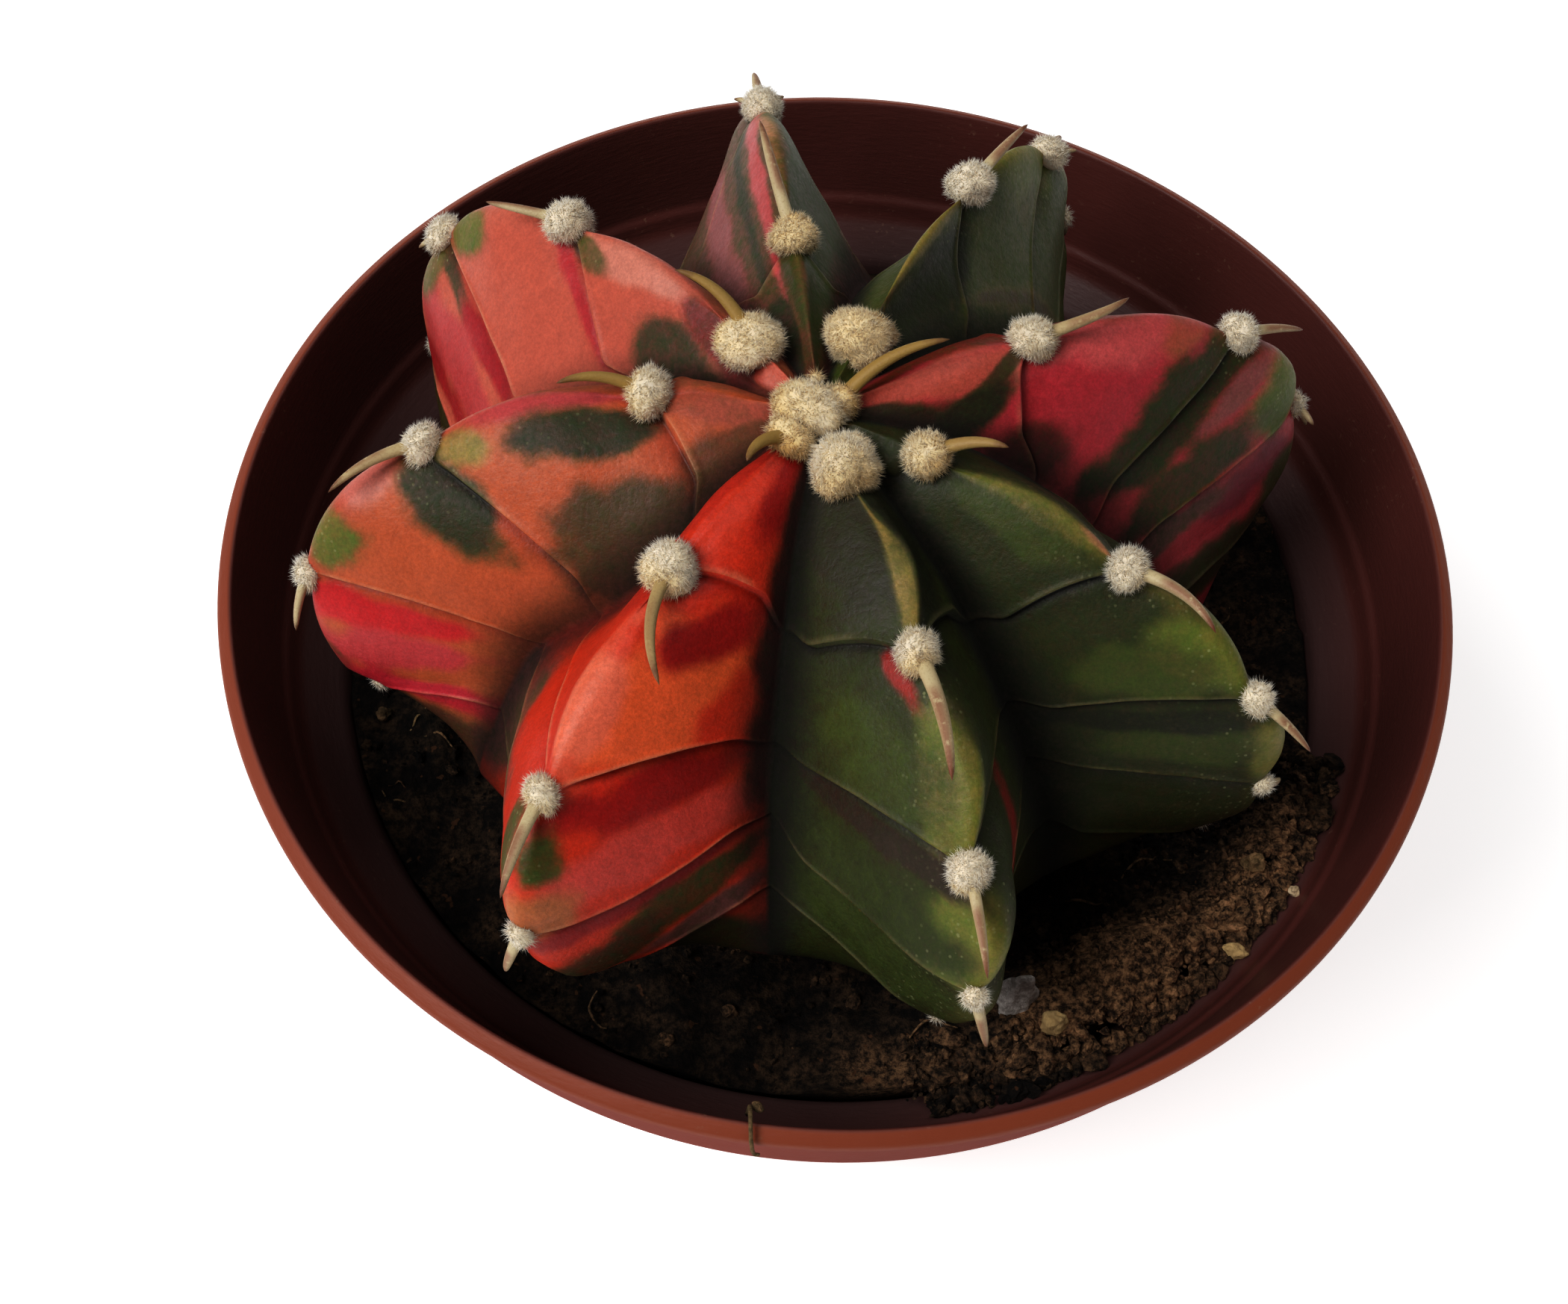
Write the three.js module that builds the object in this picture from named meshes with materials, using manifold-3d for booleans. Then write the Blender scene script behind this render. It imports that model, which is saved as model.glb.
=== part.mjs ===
// A small variegated moon cactus growing in a round plastic nursery pot.
// Units are millimetres, +Z is up, and the origin is the centre of the pot's foot, on the ground.
import * as THREE from 'three';
import { mergeVertices } from 'three/addons/utils/BufferGeometryUtils.js';
import Module from 'manifold-3d';

const wasm = await Module();
wasm.setup();

const SLIVER = 0.01;

// Driving dimensions of the pot
const RIM_RADIUS = 32.5;
const RIM_HEIGHT = 42;
const WALL = 1;
const LIP_WIDTH = 0.8;
const LIP_DEPTH = 0.75;
const LIP_TILT = 0.28;
const LIP_OVERHANG = 0.5;
const LIP_ROUNDING = 0.2;
const COLLAR_DEPTH = 6.4;
const COLLAR_RADIUS = 29.74;
const LEDGE_STEP = 0.35;
const SHOULDER_DEPTH = 9.1;
const SHOULDER_RADIUS = 27.1;
const FOOT_RADIUS = 20;
const FOOT_WIDTH = 3;
const FOOT_RECESS = 1.2;
const FLOOR_TOP = 2.4;
const FLOOR_CORNER = 1;
const DRAIN_HOLES = 6;
const DRAIN_RADIUS = 2.4;
const DRAIN_RING = 11.5;
const DRAIN_SIDES = 12;
const POT_SEGMENTS = 60;

// Driving dimensions of the soil
const SOIL_GAP = 0.3;
const SOIL_LEVEL = RIM_HEIGHT - SHOULDER_DEPTH - 0.4;
const SOIL_COLUMNS = 48;
const SOIL_RINGS = 11;
const LUMP_HEIGHT = 0.45;
const CALM_RADIUS = 6.5;
const ROOT_HOLE_RADIUS = 4.8;

// Driving dimensions of the plant. Levels are angles down a rib from the crown, with the belly at 90 degrees.
const PLANT_X = -1.5;
const PLANT_Y = -2.8;
const CREST = { radius: 27.3, rise: 14, belly: RIM_HEIGHT + 2, spread: 0.8, dome: 0.85, tuckFrom: 69 };
const GROOVE = { radius: 20.3, rise: 17, dome: 1.9, dropShare: 0.62, belly: RIM_HEIGHT - 1.5 };
// A groove lags behind the crests' level by a square law, and catches up again underneath.
const GROOVE_LAG = 0.25;
const CATCH_UP_LEVEL = 80;
const CATCH_UP = (GROOVE_LAG * Math.PI ** 2) / (Math.PI - (CATCH_UP_LEVEL * Math.PI) / 180) ** 2;
// Underneath, a groove runs out into the crests beside it.
const UNDER = { from: 118, to: 146, share: 0.85, depth: 0.8 };
const CROWN_DIP = 0.8;
const LAST_LEVEL = 168;
const ROOT_RADIUS = 4.5;
const ROOT_TIP_RADIUS = 2.7;
const ROOT_DEPTH = 11;
const BAND_STEP = 0.32;
const CREST_SWELL = 0.3;
const CREST_WIDTH = 0.45;
const TWIST = { level: 25, spread: 30 };

// Each rib leans from its azimuth at the crown to its azimuth at the belly, anticlockwise from +X.
// reach scales its radius, tuck narrows it below the belly, and drop is how far it hangs below the belly.
// plump is how far its flanks swell, valley turns the groove after it at the belly, and twist turns that
// groove near the crown. sway moves its crest to one side between the areoles, and blunt rounds the crest.
// Its areoles are at the levels given. Each spine has a length, a lift off the rib and a turn to one side.
const RIBS = [
  {
    crown: -129, belly: -115, reach: 1, tuck: 0.26, drop: 8,
    plump: 0.5, valley: 0, twist: 0, sway: 0, blunt: 0.13,
    levels: [2.2, 18, 48, 72, 99],
    spines: [[3.4, 25, -4], [6.3, 15, 30], [4.9, 25, 5], [4, 12, -24], null],
  },
  {
    crown: -67, belly: -73, reach: 1, tuck: 0.22, drop: 9.5,
    plump: 0.2, valley: 3, twist: 0, sway: 0.9, blunt: 0.13,
    levels: [4, 23, 50, 72, 96],
    spines: [null, [6.6, 15, -7], [4.6, 20, -4], [3.9, 15, 15], null],
  },
  {
    crown: -23, belly: -28, reach: 0.95, tuck: 0.1, drop: 10.5,
    plump: 0.2, valley: 0, twist: 0, sway: 0.4, blunt: 0.13,
    levels: [8, 32, 61, 85, 108],
    spines: [[3.9, 25, 21], [5, 20, -8], [3.6, 20, 0], [2.4, 15, 48], null],
  },
  {
    crown: 30, belly: 21, reach: 1.01, tuck: 0.08, drop: 10.8,
    plump: 0.4, valley: 0, twist: 0, sway: 0, blunt: 0.13,
    levels: [0.8, 19, 52, 80, 104],
    spines: [[5.9, 20, -5], [4.9, 20, -12], [4.4, 15, 7], [2.3, 22, 2], null],
  },
  {
    crown: 69, belly: 61, reach: 1.03, tuck: 0.08, drop: 10.5,
    plump: -0.6, valley: 0, twist: 0, sway: 0, blunt: 0.2,
    levels: [6, 33, 65, 88, 109],
    spines: [null, [5, 20, -9], [2.6, 28, 15], [2, 20, 0], null],
  },
  {
    crown: 99, belly: 99, reach: 1.015, tuck: 0.08, drop: 9.5,
    plump: -0.1, valley: 0, twist: 0, sway: 0, blunt: 0.32,
    levels: [2, 18, 61, 89, 112],
    spines: [null, [6.5, 22, 8], [4, 28, 0], [2.4, 20, 10], null],
  },
  {
    crown: 131, belly: 144, reach: 1, tuck: 0.09, drop: 8,
    plump: 0.1, valley: 0, twist: 0, sway: 0, blunt: 0.13,
    levels: [7, 36, 70, 100, 123],
    spines: [[4.9, 25, 10], [4.1, 20, 36], [3.2, 26, -42], [1.8, 20, 0], null],
  },
  {
    crown: 172, belly: 196, reach: 0.955, tuck: 0.24, drop: 4,
    plump: 0.4, valley: -9, twist: 20, sway: 0, blunt: 0.13,
    levels: [0.4, 13, 41, 72, 100],
    spines: [null, [4.4, 20, 4], [4.6, 20, 20], [2.6, 20, 24], null],
  },
];
const RIB_COUNT = RIBS.length;
const RIB_COLUMNS = [-1, -0.7, -0.4, -0.16, 0, 0.16, 0.4, 0.7];
const BAND_ROWS = [0, 0.25, 0.5, 0.75, 1];
const SHARED_FROM = 0.75;
const STEP_LEVEL = 1.4;
const WOOL_AT_CROWN = 1.75;
const WOOL_LOSS = 0.0125;
const WOOL_LEAST = 0.45;
const WOOL_SEAT = 0.35;
const COARSE_WOOL = 0.75;
const SPINE_RADIUS = 0.42;
const SPINE_TAPER = 0.7;
const SPINE_ARCH = 0.12;
const SPINE_STATIONS = [0.02, 0.35, 0.7];
const SPINE_SIDES = 4;

const { degToRad: radians, radToDeg: degrees, clamp, lerp, smoothstep: smooth } = THREE.MathUtils;
const PLANT = new THREE.Vector3(PLANT_X, PLANT_Y, 0);

function bell(x) {
  return Math.exp(-(x ** 2));
}

function polar(radius, azimuth, z) {
  return new THREE.Vector3(radius * Math.cos(azimuth), radius * Math.sin(azimuth), z);
}

// Rings of points from a start pole to an end pole become one closed body.
// Every ring runs anticlockwise as seen from beyond the start pole.
function closedSkin(startPole, rings, endPole) {
  const columns = rings[0].length;
  const points = [startPole, ...rings.flat(), endPole];
  const last = points.length - 1;
  const at = (row, column) => 1 + row * columns + (column % columns);
  const faces = [];
  for (let column = 0; column < columns; column += 1) {
    faces.push(0, at(0, column), at(0, column + 1));
    for (let row = 0; row < rings.length - 1; row += 1) {
      faces.push(at(row, column), at(row + 1, column), at(row + 1, column + 1));
      faces.push(at(row, column), at(row + 1, column + 1), at(row, column + 1));
    }
    faces.push(last, at(rings.length - 1, column + 1), at(rings.length - 1, column));
  }
  const geometry = new THREE.BufferGeometry();
  geometry.setAttribute('position', new THREE.Float32BufferAttribute(points.flatMap((p) => p.toArray()), 3));
  geometry.setIndex(faces);
  return geometry;
}

function toSolid(geometry) {
  const bare = geometry.clone();
  bare.deleteAttribute('normal');
  bare.deleteAttribute('uv');
  const merged = mergeVertices(bare, 1e-4);
  const mesh = new wasm.Mesh({
    numProp: 3,
    vertProperties: new Float32Array(merged.attributes.position.array),
    triVerts: new Uint32Array(merged.index.array),
  });
  return new wasm.Manifold(mesh);
}

function toGeometry(solid) {
  const mesh = solid.getMesh();
  const geometry = new THREE.BufferGeometry();
  geometry.setAttribute('position', new THREE.BufferAttribute(mesh.vertProperties, 3));
  geometry.setIndex(new THREE.BufferAttribute(mesh.triVerts, 1));
  geometry.computeVertexNormals();
  return geometry;
}

// Fusing leaves slivers where surfaces meet, which are shorter than anything that the shapes need.
function fuse(geometries) {
  return geometries.map(toSolid).reduce((sum, solid) => sum.add(solid)).asOriginal().simplify(SLIVER);
}

function namedMesh(name, geometry, color, roughness) {
  const material = new THREE.MeshStandardMaterial({ color, roughness, metalness: 0 });
  const mesh = new THREE.Mesh(geometry, material);
  mesh.name = name;
  return mesh;
}

// The pot: a flared collar above a shoulder, a tapered wall, a foot ring and a drained floor.
// The lip's top slopes outwards, from above the rim's height to below it.
const WALL_TOP = RIM_HEIGHT - SHOULDER_DEPTH;

function innerWallRadius(z) {
  return lerp(FOOT_RADIUS - WALL, SHOULDER_RADIUS, clamp(z / WALL_TOP, 0, 1));
}

function potProfile() {
  const collarBase = RIM_HEIGHT - COLLAR_DEPTH;
  const collarFoot = collarBase - 2 * WALL;
  const lipUnder = RIM_HEIGHT - LIP_DEPTH;
  const shoulderUnder = WALL_TOP - WALL;
  const lipInner = RIM_RADIUS - LIP_WIDTH;
  return [
    [0, FOOT_RECESS],
    [FOOT_RADIUS - FOOT_WIDTH, FOOT_RECESS],
    [FOOT_RADIUS - FOOT_WIDTH, 0],
    [FOOT_RADIUS, 0],
    [innerWallRadius(shoulderUnder) + WALL, shoulderUnder],
    [COLLAR_RADIUS + WALL - LEDGE_STEP, collarFoot],
    [COLLAR_RADIUS + WALL, collarFoot + 2 * LEDGE_STEP],
    [RIM_RADIUS - LIP_OVERHANG, lipUnder - LIP_OVERHANG],
    [RIM_RADIUS, lipUnder],
    [RIM_RADIUS, RIM_HEIGHT - LIP_TILT],
    [lipInner + LIP_ROUNDING, RIM_HEIGHT + LIP_TILT],
    [lipInner, RIM_HEIGHT + LIP_TILT - LIP_ROUNDING],
    [COLLAR_RADIUS + LEDGE_STEP, collarBase + LEDGE_STEP],
    [COLLAR_RADIUS, collarBase],
    [COLLAR_RADIUS - LEDGE_STEP, collarBase - WALL],
    [SHOULDER_RADIUS, WALL_TOP],
    [innerWallRadius(FLOOR_TOP + FLOOR_CORNER), FLOOR_TOP + FLOOR_CORNER],
    [innerWallRadius(FLOOR_TOP) - FLOOR_CORNER, FLOOR_TOP],
    [0, FLOOR_TOP],
  ].map(([radius, z]) => new THREE.Vector2(radius, z));
}

function makePot() {
  const shell = new THREE.LatheGeometry(potProfile(), POT_SEGMENTS);
  shell.rotateX(Math.PI / 2);
  let solid = toSolid(shell);
  for (let hole = 0; hole < DRAIN_HOLES; hole += 1) {
    const drill = new THREE.CylinderGeometry(DRAIN_RADIUS, DRAIN_RADIUS, 3 * FLOOR_TOP, DRAIN_SIDES);
    drill.rotateX(Math.PI / 2);
    const place = polar(DRAIN_RING, (2 * Math.PI * hole) / DRAIN_HOLES, FLOOR_TOP);
    drill.translate(place.x, place.y, place.z);
    solid = solid.subtract(toSolid(drill));
  }
  return namedMesh('pot', toGeometry(solid), 0x9a4a35, 0.45);
}

// The soil: a plug that fills the pot, with a lumpy top, mounds and a plain hole for the root.
// The top is two crossed waves, as long as its coarse and its fine lumps.
function lumps(x, y) {
  const coarse = Math.sin(0.42 * x + 1.3) * Math.cos(0.37 * y - 0.6);
  const fine = Math.sin(0.95 * x - 0.7 * y) * Math.cos(0.8 * y + 0.5 * x + 2);
  return coarse + 0.7 * fine;
}

// Mounds of crumbs heaped against the wall, by azimuth, distance from the pot's axis, height and spread
const MOUNDS = [
  { azimuth: -55, radius: 25.5, height: 4.2, across: 13, along: 3 },
  { azimuth: -30, radius: 27, height: 2.4, across: 14, along: 2.6 },
  { azimuth: -82, radius: 26, height: 1.5, across: 9, along: 3 },
];

function moundHeight(radius, azimuth) {
  let height = 0;
  for (const mound of MOUNDS) {
    const turn = degrees(azimuth) - mound.azimuth;
    const wrapped = turn - 360 * Math.round(turn / 360);
    height += mound.height * bell(Math.hypot(wrapped / mound.across, (radius - mound.radius) / mound.along));
  }
  return height;
}

function soilHeight(radius, azimuth) {
  const x = radius * Math.cos(azimuth);
  const y = radius * Math.sin(azimuth);
  const calm = smooth(Math.hypot(x - PLANT_X, y - PLANT_Y), CALM_RADIUS, 2 * CALM_RADIUS);
  return SOIL_LEVEL + calm * LUMP_HEIGHT * lumps(x, y) + moundHeight(radius, azimuth);
}

// Bits half sunk in the soil, by azimuth, distance from the pot's axis and half sizes
const BITS = [
  { azimuth: -65, radius: 23.2, size: [1, 0.8, 1.9] },
  { azimuth: -64, radius: 26.2, size: [0.7, 0.5, 1.2] },
  { azimuth: -31, radius: 26.4, size: [0.7, 0.6, 0.9] },
  { azimuth: -101, radius: 23, size: [0.5, 0.4, 0.4] },
  { azimuth: -107, radius: 25.6, size: [0.5, 0.4, 0.4] },
  { azimuth: -165, radius: 25.2, size: [0.5, 0.4, 0.4] },
  { azimuth: -74, radius: 24.9, size: [0.9, 0.6, 0.6] },
  { azimuth: 40, radius: 26, size: [0.9, 0.7, 0.7] },
  { azimuth: 118, radius: 25.9, size: [0.8, 0.8, 0.6] },
];

const BIT_PROUD = 0.2;

function makeBit(bit, index) {
  const lump = new THREE.IcosahedronGeometry(1, 0);
  lump.scale(...bit.size);
  lump.rotateZ(index);
  const azimuth = radians(bit.azimuth);
  const place = polar(bit.radius, azimuth, soilHeight(bit.radius, azimuth) + BIT_PROUD * bit.size[2]);
  lump.translate(place.x, place.y, place.z);
  return lump;
}

function makePlug() {
  const holeFloor = SOIL_LEVEL - ROOT_DEPTH - SOIL_GAP;
  const plugFloor = FLOOR_TOP + SOIL_GAP;
  const azimuths = Array.from({ length: SOIL_COLUMNS }, (_, k) => (2 * Math.PI * k) / SOIL_COLUMNS);
  const holeRing = (z) => azimuths.map((a) => polar(ROOT_HOLE_RADIUS, a, z).add(PLANT));
  const wallRing = (inset, z) => azimuths.map((a) => polar(innerWallRadius(z) - inset, a, z));
  const topRing = (share) => azimuths.map((a) => {
    const edge = polar(SHOULDER_RADIUS - SOIL_GAP, a, 0);
    const point = polar(ROOT_HOLE_RADIUS, a, 0).add(PLANT).lerp(edge, share);
    point.z = soilHeight(Math.hypot(point.x, point.y), Math.atan2(point.y, point.x));
    return point;
  });
  const rings = [holeRing(holeFloor), holeRing(SOIL_LEVEL)];
  for (let ring = 1; ring <= SOIL_RINGS; ring += 1) {
    rings.push(topRing(ring / SOIL_RINGS));
  }
  rings.push(wallRing(SOIL_GAP, WALL_TOP - WALL));
  rings.push(wallRing(2 * SOIL_GAP, FLOOR_TOP + FLOOR_CORNER + SOIL_GAP));
  rings.push(wallRing(FLOOR_CORNER + 2 * SOIL_GAP, plugFloor));
  const holePole = new THREE.Vector3(PLANT_X, PLANT_Y, holeFloor);
  return closedSkin(holePole, rings, new THREE.Vector3(0, 0, plugFloor));
}

function makeSoil() {
  return namedMesh('soil', toGeometry(fuse([makePlug(), ...BITS.map(makeBit)])), 0x3a2c24, 0.95);
}

// The plant: ribs with sharp crests, banded flanks and deep grooves
function ribAzimuth(rib, level) {
  return radians(rib.crown + ((rib.belly - rib.crown) * level) / 90);
}

function crestPoint(rib, level) {
  const angle = radians(Math.max(0, level));
  const tuck = 1 - rib.tuck * Math.max(0, angle - radians(CREST.tuckFrom));
  const radius = CREST.radius * rib.reach * tuck * Math.sin(angle) ** CREST.spread;
  const height = Math.abs(Math.cos(angle));
  const z = CREST.belly + (level < 90 ? CREST.rise * height ** CREST.dome : -rib.drop * height);
  return polar(radius, ribAzimuth(rib, level), z).add(PLANT);
}

function groovePoint(rib, next, level) {
  const angle = radians(Math.max(0, level));
  const caught = CATCH_UP * Math.max(0, angle - radians(CATCH_UP_LEVEL)) ** 2;
  const shifted = angle - GROOVE_LAG * angle ** 2 + caught;
  const wrap = next.crown < rib.crown - 180 ? 2 * Math.PI : 0;
  const lean = radians((rib.valley * level) / 90 + rib.twist * bell((level - TWIST.level) / TWIST.spread));
  const azimuth = (ribAzimuth(rib, level) + ribAzimuth(next, level) + wrap) / 2 + lean;
  const radius = (GROOVE.radius * (rib.reach + next.reach) * Math.max(0, Math.sin(shifted))) / 2;
  const height = Math.cos(shifted);
  const drop = (GROOVE.dropShare * (rib.drop + next.drop)) / 2;
  const z = GROOVE.belly + (height > 0 ? GROOVE.rise * height ** GROOVE.dome : drop * height);
  const crests = [crestPoint(rib, level).sub(PLANT), crestPoint(next, level).sub(PLANT)];
  const crestRadius = (Math.hypot(crests[0].x, crests[0].y) + Math.hypot(crests[1].x, crests[1].y)) / 2;
  const under = UNDER.share * smooth(level, UNDER.from, UNDER.to);
  const blendedZ = lerp(z, (crests[0].z + crests[1].z) / 2, under);
  return polar(lerp(radius, UNDER.depth * crestRadius, under), azimuth, blendedZ).add(PLANT);
}

function neighbour(index, side) {
  return RIBS[(index + side + RIB_COUNT) % RIB_COUNT];
}

function smoothFlank(index, across, level) {
  const rib = RIBS[index];
  const side = across < 0 ? -1 : 1;
  const other = neighbour(index, side);
  const groove = side > 0 ? groovePoint(rib, other, level) : groovePoint(other, rib, level);
  const crest = crestPoint(rib, level);
  const reach = Math.abs(across);
  const azimuth = ribAzimuth(rib, level);
  const sideways = new THREE.Vector3(-Math.sin(azimuth), Math.cos(azimuth), 0);
  const fall = groove.sub(crest);
  const lateral = sideways.clone().multiplyScalar(fall.dot(sideways));
  const inward = fall.sub(lateral);
  const rounded = (Math.hypot(reach, rib.blunt) - rib.blunt) / (Math.hypot(1, rib.blunt) - rib.blunt);
  return crest.addScaledVector(lateral, reach).addScaledVector(inward, rounded);
}

function flankNormal(index, across, level) {
  const step = 0.02;
  const from = clamp(across - step, -1, 1 - step);
  const a = smoothFlank(index, from, level);
  const b = smoothFlank(index, from + step, level);
  const c = smoothFlank(index, across, level + 1);
  const d = smoothFlank(index, across, level - 1);
  return c.sub(d).cross(b.sub(a)).normalize();
}

function woolRadius(level) {
  return Math.max(WOOL_LEAST, WOOL_AT_CROWN - WOOL_LOSS * level);
}

// A rib's curve runs through the middles of its wool cushions, so the crest lies a little inside it there and
// swells between them. Each band of the flank stands a little proud of the next band down.
function bodyPoint(index, across, level, band) {
  const rib = RIBS[index];
  const reach = Math.abs(across);
  const point = smoothFlank(index, across, level);
  const between = Math.sin(Math.PI * band);
  const nearCrest = bell(reach / CREST_WIDTH);
  const swell = CREST_SWELL * between - WOOL_SEAT * woolRadius(level) * (1 - between);
  const flank = Math.sin(Math.PI * reach) * (rib.plump + BAND_STEP * (band - 0.5));
  const fade = smooth(level, 2, 14) * (1 - smooth(level, 125, 160));
  const azimuth = ribAzimuth(rib, level);
  const sideways = new THREE.Vector3(-Math.sin(azimuth), Math.cos(azimuth), 0);
  point.addScaledVector(flankNormal(index, across, level), (swell * nearCrest + flank) * fade);
  return point.addScaledVector(sideways, rib.sway * between * nearCrest * fade);
}

// Levels of the rows of points down one rib: two rows make the step under each areole.
function ribRows(rib) {
  const rows = [{ level: rib.levels[0] * 0.5, band: 0.5 }];
  const stops = [...rib.levels, LAST_LEVEL];
  for (let k = 0; k < rib.levels.length; k += 1) {
    const start = stops[k] + STEP_LEVEL;
    const end = stops[k + 1];
    for (const share of BAND_ROWS) {
      rows.push({ level: lerp(start, end, share), band: share });
    }
  }
  return rows;
}

function makeBody() {
  const rowsOf = RIBS.map(ribRows);
  const rings = rowsOf[0].map((_, row) => RIBS.flatMap((rib, index) => RIB_COLUMNS.map((across) => {
    const own = rowsOf[index][row];
    const side = across < 0 ? -1 : 1;
    const beside = rowsOf[(index + side + RIB_COUNT) % RIB_COUNT][row];
    const shared = 0.5 * smooth(Math.abs(across), SHARED_FROM, 1);
    return bodyPoint(index, across, lerp(own.level, beside.level, shared), own.band);
  })));
  const columns = rings[0].length;
  const firstAzimuth = (radians(RIBS[0].belly + RIBS[RIB_COUNT - 1].belly) - 2 * Math.PI) / 2;
  const rootRing = (radius, z) => rings[0].map((_, k) => {
    return polar(radius, firstAzimuth + (2 * Math.PI * k) / columns, z).add(PLANT);
  });
  const tipZ = SOIL_LEVEL - ROOT_DEPTH;
  rings.push(rootRing(ROOT_RADIUS, SOIL_LEVEL + SOIL_GAP), rootRing(ROOT_TIP_RADIUS, tipZ + 1));
  const crown = new THREE.Vector3(PLANT_X, PLANT_Y, CREST.belly + CREST.rise - CROWN_DIP);
  return closedSkin(crown, rings, new THREE.Vector3(PLANT_X, PLANT_Y, tipZ));
}

// Directions at an areole: down the rib, to its side and off its crest
function areoleFrame(rib, level) {
  const down = crestPoint(rib, level + 0.1).sub(crestPoint(rib, level - 0.1)).normalize();
  const azimuth = ribAzimuth(rib, level);
  const sideways = new THREE.Vector3(-Math.sin(azimuth), Math.cos(azimuth), 0);
  const out = down.clone().cross(sideways).normalize();
  return { down, sideways, out };
}

function makeWool(rib, level) {
  const radius = woolRadius(level);
  const cushion = new THREE.IcosahedronGeometry(radius, radius > COARSE_WOOL ? 1 : 0);
  const place = crestPoint(rib, level);
  cushion.translate(place.x, place.y, place.z);
  return cushion;
}

function makeSpine(rib, level, [length, lift, turn]) {
  const { down, sideways, out } = areoleFrame(rib, level);
  const along = down.clone().multiplyScalar(Math.cos(radians(turn)));
  along.addScaledVector(sideways, Math.sin(radians(turn)));
  const heading = along.multiplyScalar(Math.cos(radians(lift))).addScaledVector(out, Math.sin(radians(lift)));
  const start = crestPoint(rib, level);
  const tip = start.clone().addScaledVector(heading, length);
  const bend = start.clone().lerp(tip, 0.5).addScaledVector(out, SPINE_ARCH * length);
  const path = new THREE.QuadraticBezierCurve3(start, bend, tip);
  const across = new THREE.Vector3().crossVectors(out, heading).normalize();
  const over = new THREE.Vector3().crossVectors(across, heading).normalize();
  const rings = SPINE_STATIONS.map((share) => {
    const radius = SPINE_RADIUS * (1 - SPINE_TAPER * share ** 2);
    return Array.from({ length: SPINE_SIDES }, (_, k) => {
      const turned = (2 * Math.PI * k) / SPINE_SIDES;
      const point = path.getPoint(share).addScaledVector(across, radius * Math.cos(turned));
      return point.addScaledVector(over, radius * Math.sin(turned));
    });
  });
  return closedSkin(start, rings, tip);
}

function makeCactus() {
  const pieces = [makeBody()];
  for (const rib of RIBS) {
    rib.levels.forEach((level, k) => {
      pieces.push(makeWool(rib, level));
      if (rib.spines[k]) {
        pieces.push(makeSpine(rib, level, rib.spines[k]));
      }
    });
  }
  return namedMesh('cactus', toGeometry(fuse(pieces)), 0x5c6b3a, 0.5);
}

const pottedCactus = new THREE.Group();
pottedCactus.add(makePot(), makeSoil(), makeCactus());

export default pottedCactus;
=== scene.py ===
"""The looks of a small variegated moon cactus in a round nursery pot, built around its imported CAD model."""

import math
from collections import namedtuple
from itertools import combinations

import bpy
import numpy as np
from mathutils import Matrix, Vector, noise


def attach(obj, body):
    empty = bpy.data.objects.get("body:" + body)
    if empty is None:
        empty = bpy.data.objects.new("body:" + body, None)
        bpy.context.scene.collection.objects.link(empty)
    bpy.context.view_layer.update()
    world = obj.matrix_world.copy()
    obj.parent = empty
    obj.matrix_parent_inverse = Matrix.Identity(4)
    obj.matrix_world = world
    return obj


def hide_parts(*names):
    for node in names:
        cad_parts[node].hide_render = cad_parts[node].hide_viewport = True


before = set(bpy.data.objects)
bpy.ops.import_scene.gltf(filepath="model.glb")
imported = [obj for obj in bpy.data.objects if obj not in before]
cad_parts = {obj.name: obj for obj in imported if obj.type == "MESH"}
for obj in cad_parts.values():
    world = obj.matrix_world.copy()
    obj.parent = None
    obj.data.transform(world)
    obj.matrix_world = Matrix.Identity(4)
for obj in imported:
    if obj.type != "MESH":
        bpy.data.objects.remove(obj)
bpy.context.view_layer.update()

# All shapes are worked out in millimetres, in the frame of the CAD model, and scaled as meshes are made
MM = 0.001

# Driving dimensions of the pot, as in the CAD model
RIM_RADIUS, RIM_HEIGHT = 32.5, 42
WALL, LIP_WIDTH, LIP_DEPTH, LIP_TILT, LIP_OVERHANG = 1, 0.8, 0.75, 0.28, 0.5
COLLAR_DEPTH, COLLAR_RADIUS, LEDGE_STEP = 6.4, 29.74, 0.35
SHOULDER_DEPTH, SHOULDER_RADIUS = 9.1, 27.1
FOOT_RADIUS, FOOT_WIDTH, FOOT_RECESS = 20, 3, 1.2
FLOOR_TOP, FLOOR_CORNER = 2.4, 1
DRAIN_HOLES, DRAIN_RADIUS, DRAIN_RING = 6, 2.4, 11.5
WALL_TOP = RIM_HEIGHT - SHOULDER_DEPTH

# Driving dimensions of the soil, as in the CAD model
SOIL_GAP = 0.3
SOIL_LEVEL = WALL_TOP - 0.4
LUMP_HEIGHT, CALM_RADIUS, ROOT_HOLE_RADIUS = 0.45, 6.5, 4.8

# Driving dimensions of the plant, as in the CAD model. Levels are degrees down a rib from the crown.
PLANT = np.array((-1.5, -2.8, 0))
CREST_RADIUS, CREST_RISE, CREST_BELLY = 27.3, 14, RIM_HEIGHT + 2
CREST_SPREAD, CREST_DOME, TUCK_FROM = 0.8, 0.85, 69
GROOVE_RADIUS, GROOVE_RISE, GROOVE_DOME = 20.3, 17, 1.9
GROOVE_DROP_SHARE, GROOVE_BELLY = 0.62, RIM_HEIGHT - 1.5
GROOVE_LAG, CATCH_UP_LEVEL = 0.25, 80
CATCH_UP = GROOVE_LAG * math.pi**2 / (math.pi - math.radians(CATCH_UP_LEVEL)) ** 2
UNDER_FROM, UNDER_TO, UNDER_SHARE, UNDER_DEPTH = 118, 146, 0.85, 0.8
CROWN_DIP, LAST_LEVEL = 0.8, 168
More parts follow.
